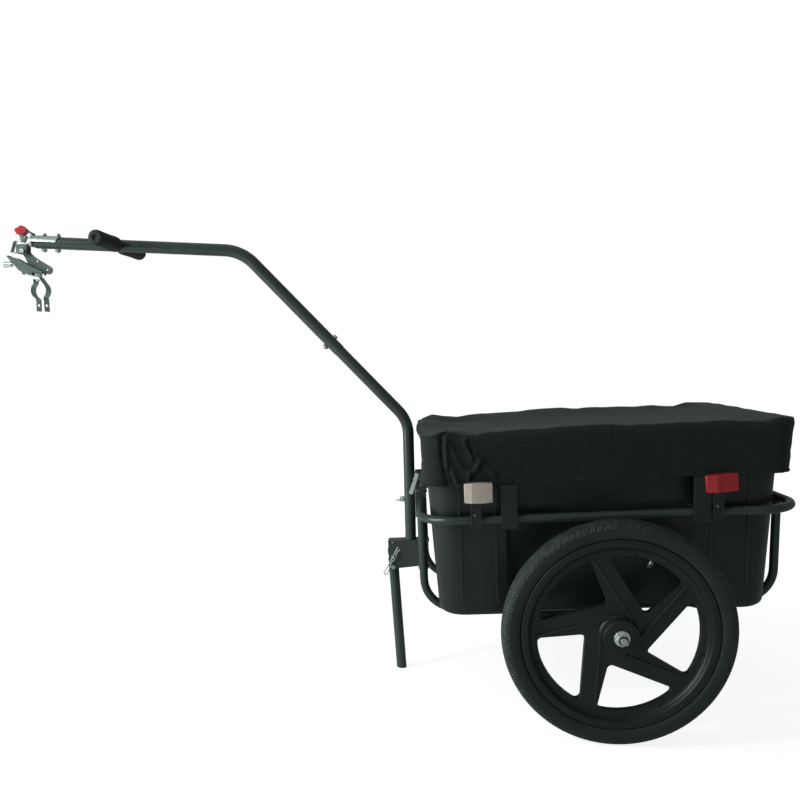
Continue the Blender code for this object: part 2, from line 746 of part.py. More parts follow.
def drawbar(root, looks):
    """Lower tube with its reduced end, upper tube with its handle bar, the joint bolt and the grips."""
    seam = JOINT_AT - SEAM_BELOW_BOLT
    lower_run = [Vector((UPRIGHT_X, 0, UPRIGHT_FOOT_Z)), LOWER_CORNER, on_slant(seam)]
    lower = mesh_object(
        "lower_drawbar", pipe(bent(lower_run, LOWER_BEND_R), ALONG_Y, LOWER_BAR_R, BAR_WALL),
        root, looks["coat"],
    )
    spigot_r = BAR_R - BAR_WALL - GAP
    collar = LOWER_BAR_R - BAR_WALL / 2
    reduced = [(-0.020, collar, False), (-0.001, collar, False), (-0.001, spigot_r, False),
               (SPIGOT_LENGTH, spigot_r, False)]
    join(lower, stacked(on_slant(seam), SLANT_WAY, reduced, TUBE_SIDES))
    bore = spigot_r - BAR_WALL
    cut(lower, rod(on_slant(seam - 0.021), on_slant(seam + SPIGOT_LENGTH + 0.001), bore, TUBE_SIDES))
    upper_run = [on_slant(seam + GAP), UPPER_CORNER, NOSE_END]
    upper = mesh_object(
        "upper_drawbar", pipe(bent(upper_run, UPPER_BEND_R), ALONG_Y, BAR_R, BAR_WALL), root, looks["coat"]
    )
    handle = UPPER_CORNER + NOSE_WAY * HANDLE_AT
    join(upper, rod(handle - ALONG_Y * HANDLE_HALF, handle + ALONG_Y * HANDLE_HALF, HANDLE_R, TUBE_SIDES))
    joint = on_slant(JOINT_AT)
    square = Vector((-SLANT_WAY.z, 0, SLANT_WAY.x))
    hole = SMALL_BOLT_R + GAP
    for tube in (lower, upper):
        cut(tube, rod(joint - square * 2 * BAR_R, joint + square * 2 * BAR_R, hole))
    mesh_object(
        "drawbar_bolt",
        stacked(joint, square, bolt_through(BAR_R, SMALL_HEAD_R, SMALL_BOLT_R, SMALL_HEAD_R)),
        root, looks["zinc"],
    )
    nose_up = Vector((-NOSE_WAY.z, 0, NOSE_WAY.x)) * -1
    for back in SLEEVE_BOLTS:
        point = NOSE_END - NOSE_WAY * back
        cut(upper, rod(point - nose_up * 2 * BAR_R, point + nose_up * 2 * BAR_R, hole))
    pin = on_upright(PULL_PIN_Z)
    cut(lower, rod(pin - ALONG_X * 2 * BAR_R, pin + ALONG_X * 2 * BAR_R, PULL_PIN_R + GAP))
    grip_bore = HANDLE_R / math.cos(math.pi / TUBE_SIDES) + GAP
    end = HANDLE_HALF + GAP
    for name, side in (("left", -1), ("right", 1)):
        profile = [
            (0, end), (grip_bore, end), (grip_bore, GRIP_START), (GRIP_R, GRIP_START), (GRIP_R, end),
            (0.8 * GRIP_R, end + GRIP_END_WALL), (0, end + GRIP_END_WALL),
        ]
        profile = [(radius, side * along) for radius, along in profile]
        bm = turned(profile, TUBE_SIDES, closed=False, place=handle)
        mesh_object("grip_" + name, bm, root, looks["rubber"])


# Brackets and kickstand

def lower_bracket(root, looks):
    """A folded box, open in front and below, that takes the upright's foot and the kickstand's top."""
    front = UPRIGHT_X - BRACKET_AHEAD
    back = -(RAIL_HALF_X + RAIL_R + GAP)
    outline = [(front, BRACKET_LOW_Z), (back, BRACKET_LOW_Z + BRACKET_RISE),
               (back, BRACKET_TOP_Z), (front, BRACKET_TOP_Z)]
    bracket = mesh_object(
        "lower_bracket", slab(outline, -BRACKET_HALF_Y, BRACKET_HALF_Y), root, looks["coat"]
    )
    inner = BRACKET_HALF_Y - SHEET
    cut(bracket, box((front - 0.01, -inner, BRACKET_LOW_Z - 0.01),
                     (back - SHEET, inner, BRACKET_TOP_Z - SHEET)))
    cut(bracket, rod(on_upright(BRACKET_TOP_Z - 0.01), on_upright(BRACKET_TOP_Z + 0.01),
                     LOWER_BAR_R + 2 * GAP, TUBE_SIDES))
    for offset, size in ((0, PIVOT_BOLT_R), (LOCK_PIN_ABOVE, LOCK_PIN_R)):
        z = STAND_PIVOT_Z + offset
        cut(bracket, rod((STAND_X, -0.03, z), (STAND_X, 0.03, z), size + GAP))


def floor_below(point, heading):
    """Where a line from the point meets the floor that the tyres stand on."""
    down = Vector((math.sin(PARK_TILT), 0, math.cos(PARK_TILT)))
    height = (point - Vector((0, 0, AXLE_Z))).dot(down) + TYRE_R
    return point - heading * (height / heading.dot(down))


def kickstand(root, looks):
    """The stand leg on its pivot bolt, with the slot that lets it swing forward past its lock pin."""
    pivot = Vector((STAND_X, 0, STAND_PIVOT_Z))
    down = Vector((math.sin(STAND_LEAN), 0, -math.cos(STAND_LEAN)))
    top = pivot - down * STAND_ABOVE_PIVOT
    levels = [(0, 0.45 * STAND_R, False), (0.12 * STAND_R, 0.75 * STAND_R, False),
              (0.45 * STAND_R, STAND_R, False), (STAND_ABOVE_PIVOT + 0.1, STAND_R, False)]
    bm = stacked(top, down, levels, TUBE_SIDES)
    bm.verts.ensure_lookup_table()
    for vert in bm.verts[-TUBE_SIDES:]:
        vert.co = floor_below(vert.co, down)
    leg = mesh_object("kickstand", bm, root, looks["coat"], pivot)
    foot = floor_below(pivot, down)
    bore_top = pivot + down * 3 * STAND_R
    cut(leg, rod(foot + down * STAND_R, bore_top, STAND_R - STAND_WALL, TUBE_SIDES))
    cut(leg, rod(pivot - ALONG_Y * 2 * STAND_R, pivot + ALONG_Y * 2 * STAND_R, PIVOT_BOLT_R + GAP))
    slot_half = LOCK_PIN_R + 2 * GAP
    slot_steps = 6
    slot_sweep = math.radians(62)
    arc = [math.pi / 2 - math.radians(9) + slot_sweep * step / slot_steps for step in range(slot_steps + 1)]
    low = [(STAND_X + (LOCK_PIN_ABOVE - slot_half) * math.cos(a),
            STAND_PIVOT_Z + (LOCK_PIN_ABOVE - slot_half) * math.sin(a)) for a in arc]
    high = [(STAND_X + (LOCK_PIN_ABOVE + slot_half) * math.cos(a),
             STAND_PIVOT_Z + (LOCK_PIN_ABOVE + slot_half) * math.sin(a)) for a in arc]
    cut(leg, slab(low + high[::-1], -2 * STAND_R, 2 * STAND_R))
    levels = bolt_through(BRACKET_HALF_Y, PIVOT_HEAD_HALF, PIVOT_BOLT_R, PIVOT_HEAD_HALF)
    mesh_object("stand_pivot_bolt", stacked(pivot, ALONG_Y, levels), root, looks["zinc"])
    lock = pivot + ALONG_Z * LOCK_PIN_ABOVE
    near = BRACKET_HALF_Y + LOCK_PIN_OUT
    pin = mesh_object(
        "stand_lock_pin", rod(lock - ALONG_Y * near, lock + ALONG_Y * (BRACKET_HALF_Y + 0.002), LOCK_PIN_R),
        root, looks["zinc"], lock,
    )
    clip_y = BRACKET_HALF_Y + LOCK_PIN_OUT / 2
    way = Vector((-math.sin(CLIP_LEAN), 0, -math.cos(CLIP_LEAN)))
    centre = lock - ALONG_Y * clip_y
    cut(pin, rod(centre - way * 0.01, centre + way * 0.01, CLIP_WIRE_R + GAP, 8))
    aside = way.cross(ALONG_Y)
    belly = LOCK_PIN_R + CLIP_WIRE_R + 2 * GAP
    points = [(-0.024, 0), (0.030, 0), (0.0385, -0.0015), (0.0405, belly / 2), (0.0385, belly + 0.0022),
              (0.026, belly + 0.0005), (0.012, belly - 0.0020), (0.004, belly + 0.0006),
              (-0.004, belly + 0.0006), (-0.012, belly - 0.0018), (-0.020, belly + 0.0015)]
    corners = [centre + way * along + aside * off for along, off in points]
    path = [(corners[0], way)]
    for before, here, after in zip(corners, corners[1:], corners[2:]):
        path.append((here, ((here - before).normalized() + (after - here).normalized()).normalized()))
    path.append((corners[-1], (corners[-1] - corners[-2]).normalized()))
    mesh_object("r_clip", pipe(path, ALONG_Y, CLIP_WIRE_R, sides=8), root, looks["zinc"], lock)


def upper_bracket(root, looks):
    """The gusset that straddles the rail behind the upright, with its latch lever and spring pin."""
    beside = LOWER_BAR_R + 2 * GAP
    low_front = on_upright(GUSSET_LOW_Z).x + beside
    top_front = on_upright(GUSSET_TOP_Z).x + beside
    back = -RAIL_HALF_X + GUSSET_BACK
    outline = [(low_front, GUSSET_LOW_Z), (back, GUSSET_LOW_Z),
               (back, GUSSET_TOP_Z), (top_front, GUSSET_TOP_Z)]
    gusset = mesh_object(
        "upper_bracket", slab(outline, -GUSSET_HALF_Y, GUSSET_HALF_Y), root, looks["coat"]
    )
    inner = GUSSET_HALF_Y - SHEET
    over = 0.01
    lean = over * math.tan(UPRIGHT_LEAN)
    hollow = [
        (low_front + SHEET - lean, GUSSET_LOW_Z - over), (back + over, GUSSET_LOW_Z - over),
        (back + over, GUSSET_TOP_Z + over), (top_front + SHEET + lean, GUSSET_TOP_Z + over),
    ]
    cut(gusset, slab(hollow, -inner, inner))
    front = on_upright(PULL_PIN_Z).x + beside
    notch = RAIL_R + GAP
    arc = [(-RAIL_HALF_X + notch * math.cos(a), RAIL_Z + notch * math.sin(a))
           for a in np.linspace(math.pi / 2, 3 * math.pi / 2, 9)]
    outline = arc + [(back + 0.01, RAIL_Z - notch), (back + 0.01, RAIL_Z + notch)]
    cut(gusset, slab(outline, -0.03, 0.03))
    pin_tip = front + SHEET + PULL_PIN_REACH
    cut(gusset, rod((front - 0.005, 0, PULL_PIN_Z), (front + SHEET + 0.001, 0, PULL_PIN_Z), PULL_PIN_R + GAP))
    collar = on_upright(PULL_PIN_Z).x - beside
    inside = pin_tip - collar
    levels = [(0, PULL_PIN_R, False), (inside, PULL_PIN_R, False), (inside, PULL_COLLAR_R, False),
              (inside + PULL_COLLAR, PULL_COLLAR_R, False)]
    start = Vector((pin_tip, 0, PULL_PIN_Z))
    pin = mesh_object("pull_pin", stacked(start, -ALONG_X, levels), root, looks["zinc"], start)
    tab_x = collar - PULL_COLLAR
    join(pin, box((tab_x - PULL_TAB, -PULL_TAB_HALF, PULL_PIN_Z - 0.0045),
                  (tab_x + 0.001, PULL_TAB_HALF, PULL_PIN_Z + 0.0045)))
    eye_x = tab_x - PULL_TAB / 2
    cut(pin, rod((eye_x, -0.01, PULL_PIN_Z), (eye_x, 0.01, PULL_PIN_Z), PULL_WIRE_R + 3 * GAP, 10))
    lean = math.radians(20)
    ring_way = Vector((-math.cos(lean), 0, -math.sin(lean)))
    middle = Vector((eye_x, 0, PULL_PIN_Z)) + ring_way * PULL_RING_R
    ring = [
        (middle + (ALONG_Y * math.cos(t) + ring_way * math.sin(t)) * PULL_RING_R,
         ring_way * math.cos(t) - ALONG_Y * math.sin(t)) for t in turns(16)
    ]
    normal = ALONG_Y.cross(ring_way)
    mesh_object("pull_ring", pipe(ring, normal, PULL_WIRE_R, sides=6, closed=True), root, looks["zinc"])
    pivot = Vector((top_front + LATCH_HALF_WIDTH, -(GUSSET_HALF_Y + GAP), GUSSET_TOP_Z - LATCH_PIVOT_DROP))
    way = Vector((-math.sin(LATCH_LEAN), 0, -math.cos(LATCH_LEAN)))
    across = Vector((-way.z, 0, way.x)) * LATCH_HALF_WIDTH
    ends = (pivot - way * LATCH_HALF_WIDTH, pivot + way * (LATCH_LENGTH - LATCH_HALF_WIDTH))
    corners = [ends[0] - across, ends[1] - across, ends[1] + across, ends[0] + across]
    outline = rounded([(point.x, point.z) for point in corners], 0.8 * LATCH_HALF_WIDTH)
    lever = mesh_object(
        "latch_lever", slab(outline, pivot.y - LATCH_THICK, pivot.y), root, looks["zinc"], pivot
    )
    join(lever, rod(pivot - ALONG_Y * LATCH_THICK / 2, pivot + ALONG_Y * (SHEET + GAP), LATCH_PIN_R))
    cut(gusset, rod(pivot - ALONG_Y * 0.005, pivot + ALONG_Y * (SHEET + 2 * GAP), LATCH_PIN_R + GAP))


# Tub, cover and reflectors

def tub_half(z):
    """The tub's half length and half width at a height."""
    share = (z - TUB_FLOOR_Z) / (TUB_TOP_Z - TUB_FLOOR_Z)
    return (TUB_FOOT_HALF_X + share * (TUB_TOP_HALF_X - TUB_FOOT_HALF_X),
            TUB_FOOT_HALF_Y + share * (TUB_TOP_HALF_Y - TUB_FOOT_HALF_Y))


def foot_inset(height, radius):
    """How far a rounded foot draws in at a height above its floor."""
    short = max(radius - height, 0)
    return radius - math.sqrt(radius * radius - short * short)


def tub_ring(z, inset, recess, groove=0, widen=0):
    """One level of the tub, its long sides drawn in at the recess and its ends grooved for the side tubes."""
    half_x, half_y = tub_half(z)
    half_x -= inset
    half_y -= inset
    corner = max(TUB_CORNER - inset, 0.006)
    edges = (RECESS_FRONT_X - RECESS_RAMP, RECESS_FRONT_X, RECESS_BACK_X, RECESS_BACK_X + RECESS_RAMP)
    depths = (0, recess, recess, 0)
    half = TUB_GROOVE_HALF + widen
    spots = [(half + TUB_GROOVE_RAMP, 0), (half, groove), (-half, groove), (-half - TUB_GROOVE_RAMP, 0)]
    end_wall = [(middle + off, depth) for middle in (SIDE_Y, -SIDE_Y) for off, depth in spots]
    points = []
    for side_x, side_y, start in ((1, 1, 0), (-1, 1, 1), (-1, -1, 2), (1, -1, 3)):
        centre_x = TUB_MID_X + side_x * (half_x - corner)
        centre_y = side_y * (half_y - corner)
        for step in range(5):
            angle = math.pi / 2 * (start + step / 4)
            points.append((centre_x + corner * math.cos(angle), centre_y + corner * math.sin(angle)))
        if start == 0:
            points += [(x, half_y - depth) for x, depth in zip(edges[::-1], depths)]
        if start == 1:
            points += [(TUB_MID_X - half_x + depth, y) for y, depth in end_wall]
        if start == 2:
            points += [(x, -half_y + depth) for x, depth in zip(edges, depths)]
        if start == 3:
            points += [(TUB_MID_X + half_x - depth, y) for y, depth in end_wall[::-1]]
    return [Vector((x, y, z)) for x, y in points]


def tub(root, looks):
    """One moulded box: rounded foot, recessed long sides, a turned-out lip and four hooks over the rail."""
    levels = []
    for share in (0, 0.12, 0.43, 1):
        height = share * TUB_GROOVE_ROUND
        inset = foot_inset(height, TUB_FOOT_ROUND)
        groove = foot_inset(height, TUB_GROOVE_ROUND) - inset
        levels.append((TUB_FLOOR_Z + height, inset, RECESS_DEPTH, groove))
    fade = RECESS_TOP_Z - RECESS_RAMP
    levels += [(fade, 0, RECESS_DEPTH), (RECESS_TOP_Z, 0, 0)]
    lip_z = TUB_TOP_Z - TUB_LIP_DROP
    levels += [(lip_z, 0, 0), (lip_z, -TUB_LIP, 0), (TUB_TOP_Z, -TUB_LIP, 0)]
    levels += [(TUB_TOP_Z, TUB_WALL, 0), (RECESS_TOP_Z, TUB_WALL, 0), (fade, TUB_WALL, RECESS_DEPTH)]
    for share in (1, 0.43, 0.12, 0):
        height = share * TUB_GROOVE_ROUND
        inset = foot_inset(height, TUB_FOOT_ROUND - TUB_WALL)
        groove = foot_inset(height, TUB_GROOVE_ROUND) - inset
        levels.append((TUB_FLOOR_Z + TUB_WALL + height, TUB_WALL + inset, RECESS_DEPTH, groove, TUB_WALL))
    bm = bmesh.new()
    rings = [[bm.verts.new(point) for point in tub_ring(*level)] for level in levels]
    bm.faces.new(rings[0])
    bm.faces.new(rings[-1])
    count = len(rings[0])
    for first, second in zip(rings, rings[1:]):
        for step in range(count):
            after = (step + 1) % count
            bm.faces.new((first[step], first[after], second[after], second[step]))
    bmesh.ops.recalc_face_normals(bm, faces=bm.faces)
    box_piece = mesh_object("tub", bm, root, looks["plastic"], (TUB_MID_X, 0, TUB_FLOOR_Z))
    web_low = RAIL_Z + RAIL_R + 3 * GAP
    wall_y = tub_half(web_low)[1] - TUB_WALL / 2
    inner_y = RAIL_HALF_Y + RAIL_R + 2 * GAP
    outer_y = inner_y + HOOK_WALL
    outline = [
        (wall_y, web_low), (inner_y, web_low), (inner_y, HOOK_LOW_Z), (outer_y, HOOK_LOW_Z),
        (outer_y, HOOK_TOP_Z), (inner_y, HOOK_TOP_Z),
        (inner_y, web_low + HOOK_WEB), (wall_y, web_low + HOOK_WEB),
    ]
    for middle in (HOOK_FRONT_X, HOOK_BACK_X):
        for side in (-1, 1):
            sided = [(side * y, z) for y, z in outline]
            join(box_piece, side_slab(sided, middle - HOOK_HALF_X, middle + HOOK_HALF_X))


def cover_point(turn, inset_x, inset_y, z, fold):
    """A point of the cover's outline: a rounded rectangle walked by angle, pushed out by a fold."""
    half_x = COVER_HALF_X - inset_x
    half_y = COVER_HALF_Y - inset_y
    corner = max(COVER_CORNER - min(inset_x, inset_y), 0.004)
    quarters = []
    for side_x, side_y, start in ((1, 1, 0), (-1, 1, 1), (-1, -1, 2), (1, -1, 3)):
        centre = Vector((side_x * (half_x - corner), side_y * (half_y - corner)))
        quarters.append((centre, start * math.pi / 2))
    straight = [2 * (half_x - corner), 2 * (half_y - corner)] * 2
    arc = corner * math.pi / 2
    walk = turn * (2 * sum(straight[:2]) + 4 * arc)
    for (centre, start), length in zip(quarters, straight):
        if walk <= arc:
            angle = start + walk / corner
            out = Vector((math.cos(angle), math.sin(angle)))
            break
        walk -= arc
        if walk <= length:
            angle = start + math.pi / 2
            out = Vector((math.cos(angle), math.sin(angle)))
            centre = centre + Vector((-out.y, out.x)) * walk
            break
        walk -= length
    spot = centre + out * (corner + fold)
    return Vector((COVER_MID_X + spot.x, spot.y, z))


def cover_crest(x):
    """How high the cover's edge runs along the trailer."""
    places = [place for place, _ in COVER_CREST]
    return TUB_TOP_Z + float(np.interp(x, places, [rise for _, rise in COVER_CREST]))


def cover(root, looks):
    """Elasticated cloth over the tub: a saggy top, a soft edge, and a skirt with its main folds."""
    skins = []
    bm = bmesh.new()
    for inner in (0, COVER_CLOTH):
        rings = []
        # Each level is the share down the skirt, or the drop of the top, and its insets along X and Y.
        levels = [("skirt", share, narrow * COVER_HEM_IN_X, narrow * COVER_HEM_IN_Y)
                  for share, narrow in ((1.0, 1), (0.88, 1), (0.28, 0.6), (0.06, 0))]
        levels += [("top", drop, inset, inset)
                   for drop, inset in ((0, 0.0055), (0.0006, 0.016), (0.007, 0.055), (COVER_SAG, 0.140))]
        for kind, amount, inset_x, inset_y in levels:
            ring = []
            for step in range(COVER_POINTS):
                turn = step / COVER_POINTS
                crest = cover_crest(cover_point(turn, 0, 0, 0, 0).x)
                sway = math.sin(2 * math.pi * 13 * turn) + 0.7 * math.sin(2 * math.pi * 7 * turn + 1.1)
                if kind == "skirt":
                    z = crest - amount * (crest - COVER_HEM_Z)
                    fold = COVER_FOLD * (0.5 + 0.29 * sway) * amount - inner
                else:
                    z = crest - amount - inner + 0.3 * COVER_FOLD * sway * (inset_x > 0.02)
                    fold = -inner if inset_x < 0.020 else 0
                ring.append(cover_point(turn, inset_x, inset_y, z, fold))
            rings.append([bm.verts.new(point) for point in ring])
        skins.append(rings)
    for rings, inside in zip(skins, (False, True)):
        for first, second in zip(rings, rings[1:]):
            for step in range(COVER_POINTS):
                after = (step + 1) % COVER_POINTS
                quad = [first[step], first[after], second[after], second[step]]
                bm.faces.new(quad[::-1] if inside else quad)
        last = rings[-1]
        middle = bm.verts.new(sum((vert.co for vert in last), Vector()) / COVER_POINTS)
        for step in range(COVER_POINTS):
            corners = [last[step], last[(step + 1) % COVER_POINTS], middle]
            bm.faces.new(corners[::-1] if inside else corners)
    for step in range(COVER_POINTS):
        after = (step + 1) % COVER_POINTS
        outer, inner = skins[0][0], skins[1][0]
        bm.faces.new((outer[after], outer[step], inner[step], inner[after]))
    mesh_object("cover", bm, root, looks["fabric"], (COVER_MID_X, 0, TUB_TOP_Z))


def reflectors(root, looks):
    """Two pale front reflectors and two red rear ones, each on a carrier that hooks over the rail."""
    carrier_y = RAIL_HALF_Y + RAIL_R + 2 * GAP
    lens_y = carrier_y + CARRIER_WALL + GAP
    shelf_z = RAIL_Z + RAIL_R + 2 * GAP
    for place, spec in (("front", FRONT_REFLECTOR), ("rear", REAR_REFLECTOR)):
        top = spec["z"] + spec["half_z"] - CARRIER_SHORT
        profile = [
            (carrier_y, CARRIER_LOW_Z), (carrier_y + CARRIER_WALL, CARRIER_LOW_Z),
            (carrier_y + CARRIER_WALL, top), (carrier_y, top), (carrier_y, shelf_z + CARRIER_SHELF_WALL),
            (carrier_y - CARRIER_SHELF, shelf_z + CARRIER_SHELF_WALL), (carrier_y - CARRIER_SHELF, shelf_z),
            (carrier_y, shelf_z),
        ]
        half_x, half_z, chamfer = spec["half_x"], spec["half_z"], REFLECTOR_CHAMFER
        lens = [
            (-half_x, -half_z + chamfer), (-half_x + chamfer, -half_z), (half_x - chamfer, -half_z),
            (half_x, -half_z + chamfer), (half_x, half_z - chamfer), (half_x - chamfer, half_z),
            (-half_x + chamfer, half_z), (-half_x, half_z - chamfer),
        ]
        lens = [(spec["x"] + x, spec["z"] + z) for x, z in lens]
        for name, side in (("left", -1), ("right", 1)):
            sided = [(side * y, z) for y, z in profile]
            mesh_object(
                f"{place}_carrier_{name}",
                side_slab(sided, spec["carrier_x"] - CARRIER_HALF_X, spec["carrier_x"] + CARRIER_HALF_X),
                root, looks["plastic"],
            )
            near, far = sorted((side * lens_y, side * (lens_y + REFLECTOR_THICK)))
            look = looks["pale_lens"] if place == "front" else looks["red_lens"]
            mesh_object(f"{place}_reflector_{name}", slab(lens, near, far), root, look)


# Hitch

def nose_point(u, v):
    return Vector((u, 0, v))


def tongue(nose, looks):
    """The half sleeve over the drawbar's end, bent down into a plate and forward into the king pin's eye."""
    inner_r = BAR_R + GAP
    outer_r = inner_r + SLEEVE_WALL
    angles = [math.pi * step / 10 for step in range(11)]
    section = [(outer_r * math.cos(a), outer_r * math.sin(a)) for a in angles]
    section += [(inner_r * math.cos(a), inner_r * math.sin(a)) for a in angles[::-1]]
    sleeve = side_slab(section, TONGUE_U, SLEEVE_BACK)
    for vert in sleeve.verts:
        if vert.co.x > 0:
            vert.co.x -= SLEEVE_SLANT * (1 - vert.co.z / outer_r)
    piece = mesh_object("hitch_tongue", sleeve, nose, looks["zinc"])
    front = TONGUE_U
    back = TONGUE_U + TONGUE_WALL
    join(piece, box((front, -TONGUE_HALF_Y, TONGUE_LOW_V), (back, TONGUE_HALF_Y, 0.9 * inner_r)))
    eye_low = EYE_TOP_V - TONGUE_WALL
    steps = [math.pi / 2 + math.pi * step / 8 for step in range(9)]
    outline = [(KING_U + TONGUE_HALF_Y * math.cos(a), TONGUE_HALF_Y * math.sin(a)) for a in steps]
    outline += [(back - 0.001, -TONGUE_HALF_Y), (back - 0.001, TONGUE_HALF_Y)]
    eye = slab(outline, -EYE_TOP_V, -eye_low)
    bmesh.ops.rotate(eye, verts=eye.verts, matrix=Matrix.Rotation(-math.pi / 2, 3, "X"))
    join(piece, eye)
    cut(piece, rod((KING_U, 0, eye_low - 0.002), (KING_U, 0, EYE_TOP_V + 0.002), KING_R + GAP))
    cut(piece, box((TONGUE_U - 0.01, -0.03, EYE_TOP_V + 0.0002), (TONGUE_U, 0.03, 0.002)))
    hole = SMALL_BOLT_R + GAP
    levels = bolt_through(0, SMALL_HEAD_R, SMALL_BOLT_R, SMALL_HEAD_R)
    grip_top = outer_r + GAP
    grip_low = BAR_R + GAP
    for number, back_u in enumerate(SLEEVE_BOLTS):
        cut(piece, rod((back_u, 0, 0), (back_u, 0, 2 * outer_r), hole))
        spread = [(d - grip_top if d < 0 else d + grip_low, r, h) for d, r, h in levels]
        spread = [(d, r, h) for d, r, h in spread]
        name = ("sleeve_bolt_front", "sleeve_bolt_rear")[number]
        mesh_object(name, stacked(Vector((back_u, 0, 0)), -ALONG_Z, spread), nose, looks["zinc"])


def lever(nose, looks):
    """The release lever over the king pin: a barrel against the tongue, a bent arm and a red knob."""
    pivot = nose_point(*LEVER_PIVOT)
    arm = [LEVER_PIVOT, (-0.0190, 0.0222), (-0.0262, 0.0222), (-0.0330, 0.0200)]
    piece = mesh_object(
        "release_lever", strip(arm, 0.0030, 0.7 * LEVER_HALF_Y), nose, looks["dark_steel"], pivot
    )
    reach = ALONG_Y * LEVER_HALF_Y
    join(piece, rod(pivot - reach, pivot + reach, LEVER_PIN_R))
    knob = [(-0.0176, 0.0225), (-0.0302, 0.0325), (-0.0451, 0.0232), (-0.0396, 0.0142), (-0.0256, 0.0142)]
    block = mesh_object(
        "lever_knob", slab(rounded(knob, 0.0022, 2), -LEVER_HALF_Y, LEVER_HALF_Y),
        nose, looks["red_plastic"], pivot,
    )
    cut(block, strip(arm, 0.0030 + 2 * GAP, 0.7 * LEVER_HALF_Y + GAP))


def coupling(nose, looks):
    """King pin with its flared collar, the block below the eye, the leaf spring and the pitch bolt."""
    top = EYE_TOP_V + GAP
    king_end = PITCH_V + YOKE_END_R + 4 * GAP
    levels = [
        (0, 0.85 * COLLAR_TOP_R, False), (0.0015, COLLAR_TOP_R, False), (0.0045, COLLAR_TOP_R, False),
        (COLLAR_HEIGHT, COLLAR_FOOT_R, False), (COLLAR_HEIGHT, KING_R, False),
        (COLLAR_HEIGHT + top - king_end, KING_R, False),
    ]
    start = Vector((KING_U, 0, top + COLLAR_HEIGHT))
    mesh_object("king_pin", stacked(start, -ALONG_Z, levels, 16), nose, looks["zinc"], start)
    block_top = EYE_TOP_V - TONGUE_WALL - GAP
    block = mesh_object(
        "coupling_block",
        box((BLOCK_FRONT_U, -BLOCK_HALF_Y, BLOCK_LOW_V), (BLOCK_BACK_U, BLOCK_HALF_Y, block_top)),
        nose, looks["dark_steel"],
    )
    slot = YOKE_HALF + GAP
    slot_top = king_end - 2 * GAP
    cut(block, box((BLOCK_FRONT_U - 0.01, -slot, BLOCK_LOW_V - 0.01), (BLOCK_BACK_U + 0.01, slot, slot_top)))
    cut(block, rod((KING_U, 0, slot_top - 0.001), (KING_U, 0, block_top + 0.01), KING_R + GAP))
    cut(block, rod((PITCH_U, -0.03, PITCH_V), (PITCH_U, 0.03, PITCH_V), PITCH_R + GAP))
    face = BLOCK_HALF_Y + GAP
    levels = [
        (-face - PITCH_HEAD, PITCH_HEAD_R, False), (-face, PITCH_HEAD_R, False), (-face, PITCH_R, False),
        (face, PITCH_R, False), (face, PITCH_HEAD_R, True), (face + PITCH_HEAD, PITCH_HEAD_R, True),
    ]
    mesh_object("pitch_bolt", stacked(nose_point(PITCH_U, PITCH_V), ALONG_Y, levels), nose, looks["zinc"])
    mesh_object(
        "spring_clip", strip(SPRING_CLIP, SPRING_CLIP_WALL, SPRING_CLIP_HALF_Y), nose, looks["zinc"]
    )


